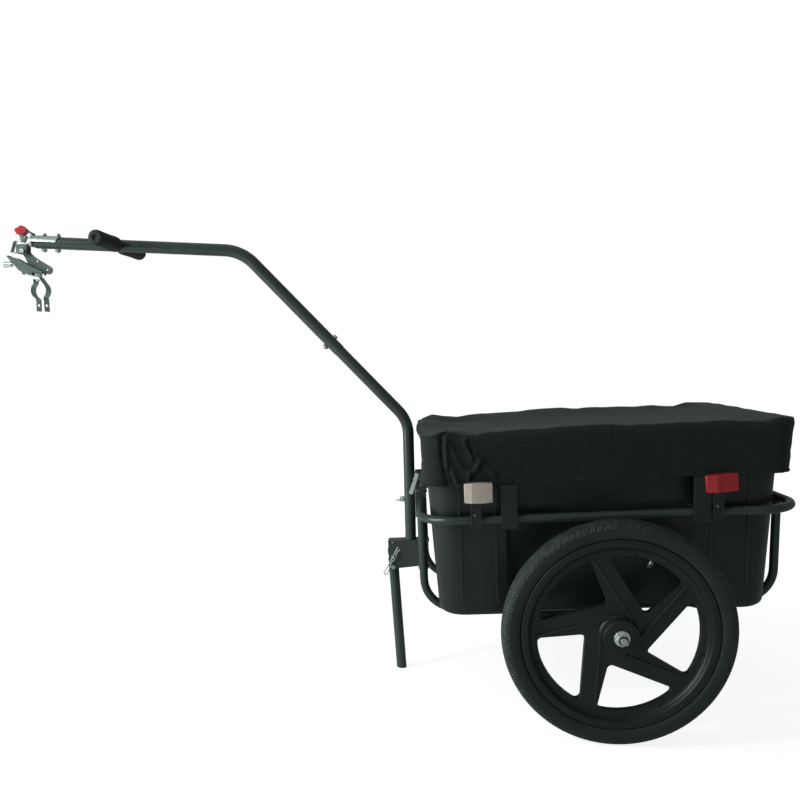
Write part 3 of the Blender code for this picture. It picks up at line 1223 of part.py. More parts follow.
def receiver(nose, looks):
    """The yoke plate that pitches in the block's fork, the channel-shaped shoe under it and its two bolts."""
    pitch = nose_point(PITCH_U, PITCH_V)
    nose_cap = [(PITCH_U + YOKE_END_R * math.cos(a), PITCH_V + YOKE_END_R * math.sin(a))
                for a in np.linspace(math.radians(52), math.radians(200), 9)]
    tail_cap = [(YOKE_TAIL[0] + YOKE_TAIL_R * math.cos(a), YOKE_TAIL[1] + YOKE_TAIL_R * math.sin(a))
                for a in np.linspace(math.radians(-125), math.radians(42), 7)]
    foot_v = SHOE_BASE_V + GAP
    outline = [KNEE] + nose_cap + [YOKE_BELLY, (YOKE_FOOT[0], foot_v), (YOKE_FOOT[1], foot_v)] + tail_cap
    dark = looks["dark_steel"]
    yoke = mesh_object("receiver_yoke", slab(outline, -YOKE_HALF, YOKE_HALF), nose, dark, pitch)
    cut(yoke, rod((PITCH_U, -0.03, PITCH_V), (PITCH_U, 0.03, PITCH_V), PITCH_R + GAP))
    for u, v in YOKE_HOLES:
        cut(yoke, rod((u, -0.03, v), (u, 0.03, v), YOKE_HOLE_R))
    clear = SWIVEL_R + 0.0012
    cut(yoke, box((SWIVEL_U - clear, -0.01, foot_v - 0.01), (SWIVEL_U + clear, 0.01, foot_v + clear)))
    outer = SHOE_IN_HALF + SHOE_WALL
    shoe = mesh_object("receiver_shoe", slab(SHOE_OUTLINE, -outer, -SHOE_IN_HALF), nose, dark, pitch)
    join(shoe, slab(SHOE_OUTLINE, SHOE_IN_HALF, outer))
    lip = Vector(SHOE_OUTLINE[1]).lerp(Vector(SHOE_OUTLINE[2]), SHOE_LIP_SHARE)
    front_web = strip([SHOE_OUTLINE[0], SHOE_OUTLINE[1], lip], SHOE_WALL, outer - 0.0005)
    bmesh.ops.translate(front_web, verts=front_web.verts, vec=(SHOE_WALL / 2, 0, SHOE_WALL / 2))
    join(shoe, front_web)
    join(shoe, box((SHOE_BASE[0], -outer + 0.0005, SHOE_BASE_V - SHOE_WALL),
                   (SHOE_BASE[1], outer - 0.0005, SHOE_BASE_V)))
    cut(shoe, rod((SWIVEL_U, 0, SHOE_BASE_V - 0.02), (SWIVEL_U, 0, SHOE_BASE_V + 0.004), SWIVEL_R + GAP))
    share = (FRONT_BOLT_V - SHOE_OUTLINE[0][1]) / (SHOE_OUTLINE[1][1] - SHOE_OUTLINE[0][1])
    web_u = SHOE_OUTLINE[0][0] + share * (SHOE_OUTLINE[1][0] - SHOE_OUTLINE[0][0])
    spot = nose_point(web_u, FRONT_BOLT_V)
    inward = Vector((math.cos(FRONT_BOLT_LEAN), 0, math.sin(FRONT_BOLT_LEAN)))
    cut(shoe, rod(spot - inward * 0.008, spot + inward * 0.008, SMALL_BOLT_R + GAP))
    reach = FRONT_BOLT_REACH
    neck = -reach + FRONT_BOLT_HEAD
    levels = [(-reach, 0.8 * FRONT_BOLT_HEAD_R, False), (-reach + 0.001, FRONT_BOLT_HEAD_R, False),
              (neck, FRONT_BOLT_HEAD_R, False), (neck, SMALL_BOLT_R, False),
              (FRONT_BOLT_IN, SMALL_BOLT_R, False)]
    mesh_object("front_bolt", stacked(spot, inward, levels), nose, looks["bright_zinc"])
    low_way = (Vector(SHOE_OUTLINE[2]) - Vector(SHOE_OUTLINE[1])).normalized()
    along = (REAR_BOLT_U - SHOE_OUTLINE[1][0]) / low_way.x
    on_web = Vector(SHOE_OUTLINE[1]) + low_way * along
    inward = Vector((-low_way.y, 0, low_way.x))
    spot = nose_point(on_web.x, on_web.y)
    cut(shoe, rod(spot - inward * 0.008, spot + inward * 0.008, SMALL_BOLT_R + GAP))
    levels = [(-0.0048, 0.8 * SMALL_HEAD_R, False), (-0.0038, SMALL_HEAD_R, False),
              (-0.0010, SMALL_HEAD_R, False), (-0.0010, SMALL_BOLT_R, False), (0.0080, SMALL_BOLT_R, False)]
    mesh_object("rear_bolt", stacked(spot, inward, levels), nose, looks["zinc"])


def clamp_arc(centre, first, last, steps=8):
    angles = np.linspace(math.radians(first), math.radians(last), steps + 1)
    return [(centre[0] + CLAMP_R * math.cos(a), centre[1] + CLAMP_R * math.sin(a)) for a in angles]


def clamp(nose, looks):
    """The seat-post clamp hanging open: two bent strips under one swivel bolt."""
    face = SHOE_BASE_V - SHOE_WALL - GAP
    nut_low = face - SWIVEL_NUT
    flange_top = nut_low - GAP - CLAMP_WALL / 2
    flange_low = flange_top - CLAMP_WALL - GAP
    head_top = flange_low - CLAMP_WALL / 2 - GAP
    head_low = head_top - 0.0030
    levels = [
        (0, SMALL_HEAD_R, False), (head_top - head_low, SMALL_HEAD_R, False),
        (head_top - head_low, SWIVEL_R, False), (nut_low - head_low, SWIVEL_R, False),
        (nut_low - head_low, SWIVEL_NUT_HALF, True), (face - head_low, SWIVEL_NUT_HALF, True),
        (face - head_low, SWIVEL_R, False), (SHOE_BASE_V + 0.0030 - head_low, SWIVEL_R, False),
    ]
    swivel = Vector((SWIVEL_U, 0, head_low))
    mesh_object("swivel_bolt", stacked(swivel, ALONG_Z, levels), nose, looks["bright_zinc"], swivel)
    hanging = empty("clamp_frame", nose, swivel, (0, 0, -CLAMP_TURN))
    centre_v = flange_top - CLAMP_DROP
    ear_top = centre_v - 1.12 * CLAMP_R
    front_centre = (SWIVEL_U + 0.0040, centre_v)
    front = [(SWIVEL_U + 0.0075, flange_top), (SWIVEL_U - 0.0078, flange_top)]
    front += clamp_arc(front_centre, 128, 245)
    front += [(SWIVEL_U - 0.0005, ear_top), (SWIVEL_U, ear_top - CLAMP_EAR)]
    rear_centre = (SWIVEL_U + 0.0055, centre_v)
    rear = [(SWIVEL_U - 0.0062, flange_low), (SWIVEL_U + 0.0080, flange_low)]
    rear += clamp_arc(rear_centre, 55, -50)
    rear += [(SWIVEL_U + 0.0180, ear_top), (SWIVEL_U + 0.0197, ear_top - CLAMP_EAR)]
    for name, line in (("clamp_half_front", front), ("clamp_half_rear", rear)):
        bm = strip(line, CLAMP_WALL, CLAMP_HALF_Y)
        bmesh.ops.translate(bm, verts=bm.verts, vec=-swivel)
        half = mesh_object(name, bm, hanging, looks["steel"])
        low, high = flange_low - head_low - CLAMP_WALL, flange_top - head_low + CLAMP_WALL
        cut(half, rod((0, 0, low), (0, 0, high), SWIVEL_R + GAP))
        ear_x = line[-1][0] - SWIVEL_U
        ear_v = ear_top - 0.45 * CLAMP_EAR - head_low
        cut(half, rod((ear_x - 0.006, 0, ear_v), (ear_x + 0.006, 0, ear_v), CLAMP_EAR_HOLE_R))


# Assembly

def settle(root):
    """Moves the whole trailer so that its box stands on the floor, centred on the origin."""
    bpy.context.view_layer.update()
    graph = bpy.context.evaluated_depsgraph_get()
    low = Vector((math.inf,) * 3)
    high = Vector((-math.inf,) * 3)
    for piece in bpy.context.scene.collection.objects:
        if piece.type != "MESH" or piece.hide_render:
            continue
        shape = piece.evaluated_get(graph)
        for vert in shape.to_mesh().vertices:
            point = shape.matrix_world @ vert.co
            low = Vector(map(min, low, point))
            high = Vector(map(max, high, point))
        shape.to_mesh_clear()
    root.location.x -= (low.x + high.x) / 2
    root.location.y -= (low.y + high.y) / 2
    root.location.z -= low.z
    print("trailer size", [round(side, 4) for side in high - low])
    print("root at", [round(side, 5) for side in root.location])


def main():
    clear_scene()
    looks = {
        "coat": finish("black_powder_coat", (0.022, 0.026, 0.026), 0.38, 0.0),
        "plastic": finish("black_polypropylene", (0.020, 0.024, 0.024), 0.45, 0.0),
        "nylon": finish("black_nylon", (0.018, 0.021, 0.021), 0.5, 0.0),
        "rubber": finish("black_rubber", (0.016, 0.018, 0.018), 0.8, 0.0),
        "fabric": finish("black_fabric", (0.014, 0.015, 0.016), 0.9, 0.0),
        "steel": finish("grey_steel", (0.35, 0.37, 0.36), 0.4, 1.0),
        "dark_steel": finish("dark_steel", (0.07, 0.085, 0.085), 0.42, 0.8),
        "zinc": finish("zinc_plate", (0.62, 0.63, 0.62), 0.35, 1.0),
        "bright_zinc": finish("bright_zinc", (0.80, 0.81, 0.80), 0.3, 1.0),
        "pale_lens": finish("pale_lens", (0.55, 0.53, 0.50), 0.25, 0.0),
        "red_lens": finish("red_lens", (0.45, 0.015, 0.02), 0.2, 0.0),
        "red_plastic": finish("red_plastic", (0.60, 0.03, 0.05), 0.35, 0.0),
    }
    # The trailer is parked nose down: everything hangs from the axle, tilted about it.
    tilt = empty("parked_trailer", None, (0, 0, TYRE_R), (0, -PARK_TILT, 0))
    root = empty("trailer_frame", tilt, (0, 0, -AXLE_Z))
    frame(root, looks)
    for name, side in (("left", -1), ("right", 1)):
        wheel(name, side, root, looks)
    drawbar(root, looks)
    lower_bracket(root, looks)
    kickstand(root, looks)
    upper_bracket(root, looks)
    tub(root, looks)
    cover(root, looks)
    reflectors(root, looks)
    nose = empty("nose_frame", root, NOSE_END, (0, NOSE_RISE, 0))
    tongue(nose, looks)
    lever(nose, looks)
    coupling(nose, looks)
    receiver(nose, looks)
    clamp(nose, looks)
    settle(tilt)


main()
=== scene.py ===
import json
import math

import bmesh
import bpy
import numpy as np
from mathutils import Matrix, Vector, noise


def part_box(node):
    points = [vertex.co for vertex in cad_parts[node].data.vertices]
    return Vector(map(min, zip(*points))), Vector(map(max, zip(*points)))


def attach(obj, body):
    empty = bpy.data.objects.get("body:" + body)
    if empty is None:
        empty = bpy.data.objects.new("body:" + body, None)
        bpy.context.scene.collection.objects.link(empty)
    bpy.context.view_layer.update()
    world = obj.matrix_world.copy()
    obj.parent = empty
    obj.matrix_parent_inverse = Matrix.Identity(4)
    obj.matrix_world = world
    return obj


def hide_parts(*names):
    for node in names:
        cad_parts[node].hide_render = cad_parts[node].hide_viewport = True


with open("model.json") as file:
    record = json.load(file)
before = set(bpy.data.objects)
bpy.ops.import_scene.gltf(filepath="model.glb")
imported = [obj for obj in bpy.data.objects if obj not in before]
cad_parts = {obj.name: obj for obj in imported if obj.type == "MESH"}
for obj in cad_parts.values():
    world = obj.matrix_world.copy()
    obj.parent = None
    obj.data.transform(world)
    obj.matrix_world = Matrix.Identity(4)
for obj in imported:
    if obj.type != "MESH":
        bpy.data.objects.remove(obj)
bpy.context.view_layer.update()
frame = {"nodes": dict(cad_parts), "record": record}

# Camera: an ordinary lens at chest height, three steps off the trailer's left side, tipped a little down.
# It is placed from the wheels' axle, and its lens is given in the picture's own pixels.
PICTURE = 800
FILM_WIDTH = 36
LENS_PIXELS = 766.89
LENS_CENTRE = (379.59, 465.18)
CAMERA_PITCH = math.radians(8.118)
CAMERA_ROLL = math.radians(1.970)
CAMERA_YAW = math.radians(-3.621)
CAMERA_FROM_AXLE = Vector((-0.3397, -1.5716, 0.6585))

studio = bpy.context.scene
axle_low, axle_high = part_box("hub_bush_left")
AXLE_X = (axle_low.x + axle_high.x) / 2


def in_studio(name, data):
    """A new object of the scene."""
    made = bpy.data.objects.new(name, data)
    studio.collection.objects.link(made)
    return made


heading = Vector((math.sin(CAMERA_YAW) * math.cos(CAMERA_PITCH),
                  math.cos(CAMERA_YAW) * math.cos(CAMERA_PITCH), -math.sin(CAMERA_PITCH)))
level = Vector((math.cos(CAMERA_YAW), -math.sin(CAMERA_YAW), 0))
upright = level.cross(heading)
across = math.cos(CAMERA_ROLL) * level + math.sin(CAMERA_ROLL) * upright
above = -math.sin(CAMERA_ROLL) * level + math.cos(CAMERA_ROLL) * upright
camera = in_studio("camera", bpy.data.cameras.new("camera"))
camera.data.sensor_width = FILM_WIDTH
camera.data.lens = LENS_PIXELS / PICTURE * FILM_WIDTH
camera.data.shift_x = (PICTURE / 2 - LENS_CENTRE[0]) / PICTURE
camera.data.shift_y = (LENS_CENTRE[1] - PICTURE / 2) / PICTURE
camera.matrix_world = (Matrix.Translation(CAMERA_FROM_AXLE + Vector((AXLE_X, 0, 0)))
                       @ Matrix((across, above, -heading)).transposed().to_4x4())
studio.camera = camera
studio.view_settings.view_transform = "Standard"

# Floor: a plain white sweep. The camera sees it nearly white, and whiter further off, with the trailer's soft
# shadow kept on it. The trailer itself is lit by it as by any pale floor.
FLOOR_REACH = 9.0
FLOOR_GREY = (0.80, 0.80, 0.80, 1)
SHADOW_GREY = (0.42, 0.42, 0.42, 1)
FLOOR_GLOW = (0.86, 1.0)
GLOW_REACH = (0.9, 2.4)


def fed(tree, node, inputs):
    """Sets a node's inputs to plain values, or links them to the sockets that feed them."""
    for label, value in inputs.items():
        if isinstance(value, bpy.types.NodeSocket):
            tree.links.new(value, node.inputs[label])
        else:
            node.inputs[label].default_value = value
    return node


def laid(tree, kind, inputs=None, **settings):
    """A new shader node with its settings made and its inputs fed."""
    node = tree.nodes.new("ShaderNode" + kind)
    for name, value in settings.items():
        setattr(node, name, value)
    return fed(tree, node, inputs or {})


def ranged(tree, value, low, high, start=0.0, end=1.0):
    """A value stretched from one range to another."""
    return laid(tree, "MapRange", {"Value": value, "From Min": start, "From Max": end,
                                   "To Min": low, "To Max": high}).outputs["Result"]


def seen_straight(tree):
    """One for rays that come straight from the camera, or through a clear piece."""
    rays = laid(tree, "LightPath").outputs
    return laid(tree, "Math", {0: rays["Is Camera Ray"], 1: rays["Is Transmission Ray"]},
                operation="MAXIMUM").outputs[0]


floor_mesh = bpy.data.meshes.new("floor")
floor_mesh.from_pydata([(x * FLOOR_REACH, y * FLOOR_REACH, 0) for x, y in ((-1, -1), (1, -1), (1, 1), (-1, 1))],
                       [], [(0, 1, 2, 3)])
floor_paint = bpy.data.materials.new("white_floor")
floor_paint.use_nodes = True
paint = floor_paint.node_tree
paint.nodes.clear()
from_middle = laid(paint, "VectorMath", {0: laid(paint, "TexCoord").outputs["Object"]}, operation="LENGTH")
glow = laid(paint, "Emission", {
    "Strength": ranged(paint, from_middle.outputs["Value"], *FLOOR_GLOW, *GLOW_REACH)})
plain = laid(paint, "BsdfDiffuse", {"Color": FLOOR_GREY})
shaded = laid(paint, "BsdfDiffuse", {"Color": SHADOW_GREY})
seen = laid(paint, "AddShader", {0: shaded.outputs[0], 1: glow.outputs[0]})
choice = laid(paint, "MixShader", {"Fac": seen_straight(paint), 1: plain.outputs[0], 2: seen.outputs[0]})
laid(paint, "OutputMaterial", {"Surface": choice.outputs[0]})
floor_mesh.materials.append(floor_paint)
in_studio("floor", floor_mesh)

# Light: a soft box overhead, a broad low fill from the nose side, a small window light and a dim room,
# all of them a little green, as daylight through glass is.
ROOM_LIGHT = 0.20
ROOM_TINT = (0.87, 1.0, 0.975)
# Name, place, aim, watts and width of each lamp
LAMPS = (("overhead_box", (-0.6, 0.3, 3.0), (0, 0, 0.3), 7, 2.6),
         ("nose_side_fill", (-2.9, -0.95, 0.80), (0.1, 0, 0.4), 72, 1.8),
         ("window_light", (-2.3, -1.55, 1.95), (0.2, -0.2, 0.3), 30, 0.4))

studio.world = bpy.data.worlds.new("room")
studio.world.use_nodes = True
room = studio.world.node_tree
room.nodes.clear()
dim_room = laid(room, "Background", {"Color": (*ROOM_TINT, 1), "Strength": ROOM_LIGHT})
white_room = laid(room, "Background", {"Color": (1, 1, 1, 1)})
room_choice = laid(room, "MixShader", {"Fac": seen_straight(room), 1: dim_room.outputs[0],
                                       2: white_room.outputs[0]})
laid(room, "OutputWorld", {"Surface": room_choice.outputs[0]})
for lamp_name, spot, aim, watts, wide in LAMPS:
    lamp = in_studio(lamp_name, bpy.data.lights.new(lamp_name, "AREA"))
    lamp.data.energy = watts
    lamp.data.size = wide
    lamp.data.color = ROOM_TINT
    lamp.location = spot
    lamp.rotation_mode = "QUATERNION"
    lamp.rotation_quaternion = (Vector(aim) - Vector(spot)).to_track_quat("-Z", "Y")

# Steel frame: 16 mm round tube, bent cold, welded and powder coated semi-gloss black. A closed rail runs
# round the tub, and two side tubes drop from it, run under it and rise behind. Sizes are in the trailer's
# own axes: X back, Z up square to it, the axle at (0, 0.2). Parked, it leans nose down about that axle.
AXLE_Z = 0.2
PARK_LEAN = math.radians(5.0)
TUBE_R = 0.008
RAIL_HALF_X = 0.333
RAIL_HALF_Y = 0.225
RAIL_Z = 0.395
RAIL_CORNER = 0.075
RAIL_BEND_STEPS = 14
SIDE_Y = 0.116
SIDE_BEND = 0.059
REAR_POST_X = RAIL_HALF_X - 0.003
REAR_FOOT_X = REAR_POST_X - 0.005
CROSSBAR_Z = 0.283
EDGE_SHOWS = (0.53, 0.64)
DUST_SPECKS = 60.0

ALONG_X, ALONG_Y, ALONG_Z = Vector((1, 0, 0)), Vector((0, 1, 0)), Vector((0, 0, 1))
SIDES = (("left", -1), ("right", 1))
CORNERS = ((1, 1), (-1, 1), (-1, -1), (1, -1))
parked = (Matrix.Translation((AXLE_X, 0, AXLE_Z)) @ Matrix.Rotation(-PARK_LEAN, 4, "Y")
          @ Matrix.Translation((0, 0, -AXLE_Z)))
node_body = {node: body for body, nodes in frame["record"]["behaviour"]["bodies"].items() for node in nodes}


def socket_group(name, inputs, outputs):
    """An empty node group with named number inputs and their values, and named number outputs."""
    tree = bpy.data.node_groups.new(name, "ShaderNodeTree")
    for label, value in inputs.items():
        made = tree.interface.new_socket(name=label, in_out="INPUT", socket_type="NodeSocketFloat")
        made.default_value = value
    for label in outputs:
        tree.interface.new_socket(name=label, in_out="OUTPUT", socket_type="NodeSocketFloat")
    return tree, tree.nodes.new("NodeGroupInput").outputs, tree.nodes.new("NodeGroupOutput")


def worked(tree, operation, first, second):
    """A Math node fed by sockets or plain numbers."""
    return laid(tree, "Math", {0: first, 1: second}, operation=operation).outputs[0]


def own_place(tree):
    """Places on the piece itself, in metres."""
    return laid(tree, "TexCoord").outputs["Object"]


def noise_at(tree, where, scale, detail=2.0, roughness=0.5):
    """Noise read at the given places."""
    return laid(tree, "TexNoise", {"Vector": where, "Scale": scale, "Detail": detail,
                                   "Roughness": roughness}).outputs["Fac"]


def blended(tree, mask, first, second):
    """Two colours mixed by a mask. Each may be a colour or a socket."""
    node = laid(tree, "Mix", {"Factor": mask}, data_type="RGBA")
    colours = [index for index, socket in enumerate(node.inputs) if socket.type == "RGBA"]
    fed(tree, node, dict(zip(colours, (first, second))))
    return [socket for socket in node.outputs if socket.type == "RGBA"][0]


def bumped(tree, height, depth, strength=1.0):
    """A surface raised by a height, to a real depth in metres."""
    return laid(tree, "Bump", {"Height": height, "Distance": depth, "Strength": strength}).outputs["Normal"]


def worn_surface_group():
    """Grain, handling marks, edge wear and settled dust, shared by every hard finish."""
    tree, given, out = socket_group("worn_surface", {"Grain per metre": 900.0, "Marks per metre": 14.0},
                                    ["Grain", "Marks", "Edge", "Dust"])
    where = own_place(tree)
    shape = laid(tree, "NewGeometry").outputs
    marks = noise_at(tree, where, given["Marks per metre"], 5.0, 0.62)
    edge = ranged(tree, shape["Pointiness"], 0.0, 1.0, *EDGE_SHOWS)
    upward = laid(tree, "SeparateXYZ", {0: shape["Normal"]}).outputs["Z"]
    specks = noise_at(tree, where, DUST_SPECKS, 6.0, 0.7)
    fed(tree, out, {
        "Grain": noise_at(tree, where, given["Grain per metre"]), "Marks": marks,
        "Edge": worked(tree, "MULTIPLY", edge, worked(tree, "ADD", marks, 0.2)),
        "Dust": worked(tree, "MULTIPLY", worked(tree, "MAXIMUM", upward, 0.0), specks)})
    return tree


worn_surface = worn_surface_group()


def new_finish(name):
    """A new material with its nodes and its shader."""
    material = bpy.data.materials.new(name)
    material.use_nodes = True
    return material, material.node_tree, material.node_tree.nodes["Principled BSDF"]


def hard_finish(name, colour, worn, rough, grain=900.0, depth=0.00006, metal=0.0, specular=0.5, marks=14.0,
                dust=0.25, coat=0.0):
    """A hard surface: two colours over its marks and worn edges, a roughness range and a grain."""
    material, tree, shader = new_finish(name)
    wear = laid(tree, "Group", {"Grain per metre": grain, "Marks per metre": marks},
                node_tree=worn_surface).outputs
    tone = worked(tree, "MULTIPLY", ranged(tree, wear["Marks"], -0.4, 1.2), 0.5)
    # Edges take a lighter colour: wear, and on the tyre rubber also a painted glint along the tread's edges.
    edge_wear_and_glint = (*[min(1.0, 1.6 * part) for part in worn], 1)
    dusted = (*[0.75 * part + 0.05 for part in worn], 1)
    edged = blended(tree, wear["Edge"], blended(tree, tone, (*colour, 1), (*worn, 1)), edge_wear_and_glint)
    fed(tree, shader, {
        "Base Color": blended(tree, worked(tree, "MULTIPLY", wear["Dust"], dust), edged, dusted),
        "Roughness": ranged(tree, wear["Marks"], *rough), "Normal": bumped(tree, wear["Grain"], depth),
        "Metallic": metal, "Specular IOR Level": specular, "Coat Weight": coat})
    return material


powder_coat = hard_finish("black_powder_coat", (0.027, 0.036, 0.035), (0.050, 0.062, 0.060), (0.22, 0.36),
                          650.0, 0.00004)
zinc_plate = hard_finish("zinc_plate", (0.40, 0.42, 0.41), (0.61, 0.63, 0.61), (0.26, 0.46), 1400.0, 0.00003,
                         0.70, marks=60.0, dust=0.05)


def ring_faces(rings, around, closed=False, capped=True):
    """Faces that join rings of so many points one after another, with the ends filled, open or joined up."""
    faces = []
    for ring in range(rings if closed else rings - 1):
        here, there = ring * around, (ring + 1) % rings * around
        for step in range(around):
            after = (step + 1) % around
            faces.append((here + step, here + after, there + after, there + step))
    if capped and not closed:
        faces += [tuple(range(around))[::-1], tuple(range((rings - 1) * around, rings * around))]
    return faces


def ring_shape(rings, **ends):
    """Points and faces of rings joined one after another."""
    return [point for ring in rings for point in ring], ring_faces(len(rings), len(rings[0]), **ends)


def parked_mesh(name, points, faces):
    """A mesh from points in the trailer's own axes, with every face turned out."""
    mesh = bpy.data.meshes.new(name)
    mesh.from_pydata([tuple(parked @ Vector(point)) for point in points], [], faces)
    mesh.validate()
    work = bmesh.new()
    work.from_mesh(mesh)
    bmesh.ops.recalc_face_normals(work, faces=work.faces)
    work.to_mesh(mesh)
    work.free()
    return mesh


def mounted(name, mesh, material, body, replaces, smooth):
    """A piece of one finish, smooth over its round faces, that rides on a body."""
    mesh.shade_smooth()
    mesh.set_sharp_from_angle(angle=math.radians(smooth))
    mesh.materials.append(material)
    piece = in_studio(name, mesh)
    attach(piece, body)
    if replaces:
        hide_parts(*replaces)
    return piece


def skinned(name, shape, material, body, replaces=(), smooth=35):
    """A piece made from points and faces in the trailer's own axes."""
    return mounted(name, parked_mesh(name, *shape), material, body, replaces, smooth)


def eased(piece, width, angle=40, segments=2, harden=True):
    """Rounds the piece's edges that are sharper than an angle."""
    ease = piece.modifiers.new("eased_edges", "BEVEL")
    ease.width = width
    ease.segments = segments
    ease.limit_method = "ANGLE"
    ease.angle_limit = math.radians(angle)
    ease.harden_normals = harden


def finished(node, material, edge=0.0):
    """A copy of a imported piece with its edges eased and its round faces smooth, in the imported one's place."""
    source = bmesh.new()
    source.from_mesh(frame["nodes"][node].data)
    bmesh.ops.remove_doubles(source, verts=source.verts, dist=0.000002)
    bmesh.ops.dissolve_limit(source, angle_limit=math.radians(1.0), verts=source.verts, edges=source.edges)
    source.verts.index_update()
    mesh = bpy.data.meshes.new(node + "_finished")
    mesh.from_pydata([tuple(vert.co) for vert in source.verts], [],
                     [[vert.index for vert in face.verts] for face in source.faces])
    source.free()
    piece = mounted(node + "_finished", mesh, material, node_body[node], [node], 35)
    if edge:
        eased(piece, edge)


def bent_line(corners, radius, steps=12, closed=False):
    """Points and headings along straight runs joined by arcs."""
    line = [] if closed else [(corners[0], (corners[1] - corners[0]).normalized())]
    total = len(corners)
    for index in range(total) if closed else range(1, total - 1):
        corner = corners[index]
        before = (corner - corners[index - 1]).normalized()
        after = (corners[(index + 1) % total] - corner).normalized()
        angle = before.angle(after)
        start = corner - before * radius * math.tan(angle / 2)
        inward = before.cross(after).normalized().cross(before)
        for step in range(steps + 1):
            turn = angle * step / steps
            offset = before * math.sin(turn) + inward * (1 - math.cos(turn))
            line.append((start + offset * radius, before * math.cos(turn) + inward * math.sin(turn)))
    if not closed:
        line.append((corners[-1], (corners[-1] - corners[-2]).normalized()))
    return line


def swept(line, normal, radius, sides=28, closed=False):
    """A round bar along a flat line. The radius may be a list, one for each point."""
    points = []
    sizes = radius if isinstance(radius, list) else [radius] * len(line)
    for (point, ahead), size in zip(line, sizes):
        aside = normal.cross(ahead)
        for step in range(sides):
            turn = 2 * math.pi * step / sides
            points.append(point + (aside * math.cos(turn) + normal * math.sin(turn)) * size)
    return points, ring_faces(len(line), sides, closed)


rail_corners = [Vector((-x * RAIL_HALF_X, -y * RAIL_HALF_Y, RAIL_Z)) for x, y in CORNERS]
rail_line = bent_line(rail_corners, RAIL_CORNER, RAIL_BEND_STEPS, closed=True)
skinned("rail_tube", swept(rail_line, ALONG_Z, TUBE_R, closed=True), powder_coat, "frame",
        ["upper_rail"])
for side_name, side in SIDES:
    side_corners = [Vector((x, side * SIDE_Y, z)) for x, z in (
        (-RAIL_HALF_X, RAIL_Z - TUBE_R / 2), (-RAIL_HALF_X, AXLE_Z), (REAR_FOOT_X, AXLE_Z),
        (REAR_POST_X, RAIL_Z - TUBE_R / 2))]
    skinned("bent_tube_" + side_name, swept(bent_line(side_corners, SIDE_BEND), ALONG_Y, TUBE_R), powder_coat,
            "frame", ["side_tube_" + side_name])
    finished("axle_arm_" + side_name, powder_coat)
for node in ("front_crossbar", "axle_beam"):
    finished(node, powder_coat)

# Welds: a rippled bead round every place where one frame tube meets another, coated over with the tubes.
# Each bead follows the tube that its own tube ends on.
BEAD_R = 0.0022
BEAD_RINGS, BEAD_SIDES = 56, 8


def weld_bead(name, middle, axis, tube_r, onto, onto_r):
    """A rippled ring of weld round the end of one tube, lying on another of a given direction and radius."""
    first = axis.orthogonal().normalized()
    second = axis.cross(first)
    across_onto = onto.cross(axis).normalized()
    points = []
    for ring in range(BEAD_RINGS):
        turn = 2 * math.pi * ring / BEAD_RINGS
        out = first * math.cos(turn) + second * math.sin(turn)
        ripple = 1 + 0.14 * math.sin(turn * 17) + 0.08 * math.sin(turn * 5 + 1)
        aside = (out * tube_r).dot(across_onto)
        centre = middle + out * tube_r + axis * (onto_r - math.sqrt(max(onto_r ** 2 - aside ** 2, 0)))
        for step in range(BEAD_SIDES):
            swing = 2 * math.pi * step / BEAD_SIDES
            points.append(centre + (out * math.cos(swing) + axis * math.sin(swing)) * BEAD_R * ripple)
    skinned(name, (points, ring_faces(BEAD_RINGS, BEAD_SIDES, closed=True)), powder_coat, "frame",
            smooth=80)


for side_name, side in SIDES:
    for end_name, x in (("front", -RAIL_HALF_X), ("rear", REAR_POST_X)):
        weld_bead(f"post_weld_{end_name}_{side_name}", Vector((x, side * SIDE_Y, RAIL_Z - TUBE_R)), ALONG_Z,
                  TUBE_R, ALONG_Y, TUBE_R)
    for name, x, y, z, way, run in (
            ("crossbar", -RAIL_HALF_X, SIDE_Y - TUBE_R, CROSSBAR_Z, side, ALONG_Z),
            ("axle", 0, SIDE_Y - TUBE_R, AXLE_Z, side, ALONG_X),
            ("arm", 0, SIDE_Y + TUBE_R, AXLE_Z, -side, ALONG_X)):
        weld_bead(f"{name}_weld_{side_name}", Vector((x, side * y, z)), ALONG_Y * way, TUBE_R, run, TUBE_R)

# Drawbar: a lower tube that stands in front of the tub and slants forward, and an upper tube that slips over
# its end, held by a cross bolt, and levels out into the nose. A straight bar is welded across as a T-handle.
LOWER_BAR_R = 0.0113
UPPER_BAR_R = 0.0121
LOWER_BEND_R = 0.070
UPPER_BEND_R = 0.090
UPRIGHT_FOOT = Vector((-0.3605, 0, 0.288))
UPRIGHT_LEAN = math.tan(math.radians(1.4))
LOWER_BEND_Z = 0.5613
SLANT = math.radians(48.3)
SLANT_LENGTH = 0.4801
NOSE_RISE = math.radians(5.86)
NOSE_LENGTH = 0.4264
SEAM_AT = 0.2001
HANDLE_AT = 0.2536
HANDLE_R = 0.0095
HANDLE_HALF = 0.110

upright_rise = LOWER_BEND_Z - UPRIGHT_FOOT.z
lower_corner = UPRIGHT_FOOT + Vector((upright_rise * UPRIGHT_LEAN, 0, upright_rise))
slant_way = Vector((-math.cos(SLANT), 0, math.sin(SLANT)))
nose_way = Vector((-math.cos(NOSE_RISE), 0, math.sin(NOSE_RISE)))
upper_corner = lower_corner + slant_way * SLANT_LENGTH
nose_end = upper_corner + nose_way * NOSE_LENGTH
seam = lower_corner + slant_way * SEAM_AT
handle_middle = upper_corner + nose_way * HANDLE_AT
for name, corners, bend_r, bar_r, node in (
        ("drawbar_lower_tube", [UPRIGHT_FOOT, lower_corner, seam], LOWER_BEND_R, LOWER_BAR_R, "lower_drawbar"),
        ("drawbar_upper_tube", [seam, upper_corner, nose_end], UPPER_BEND_R, UPPER_BAR_R, "upper_drawbar")):
    skinned(name, swept(bent_line(corners, bend_r), ALONG_Y, bar_r), powder_coat, "frame", [node])
handle_line = [(handle_middle + ALONG_Y * end, ALONG_Y) for end in (-HANDLE_HALF, HANDLE_HALF)]
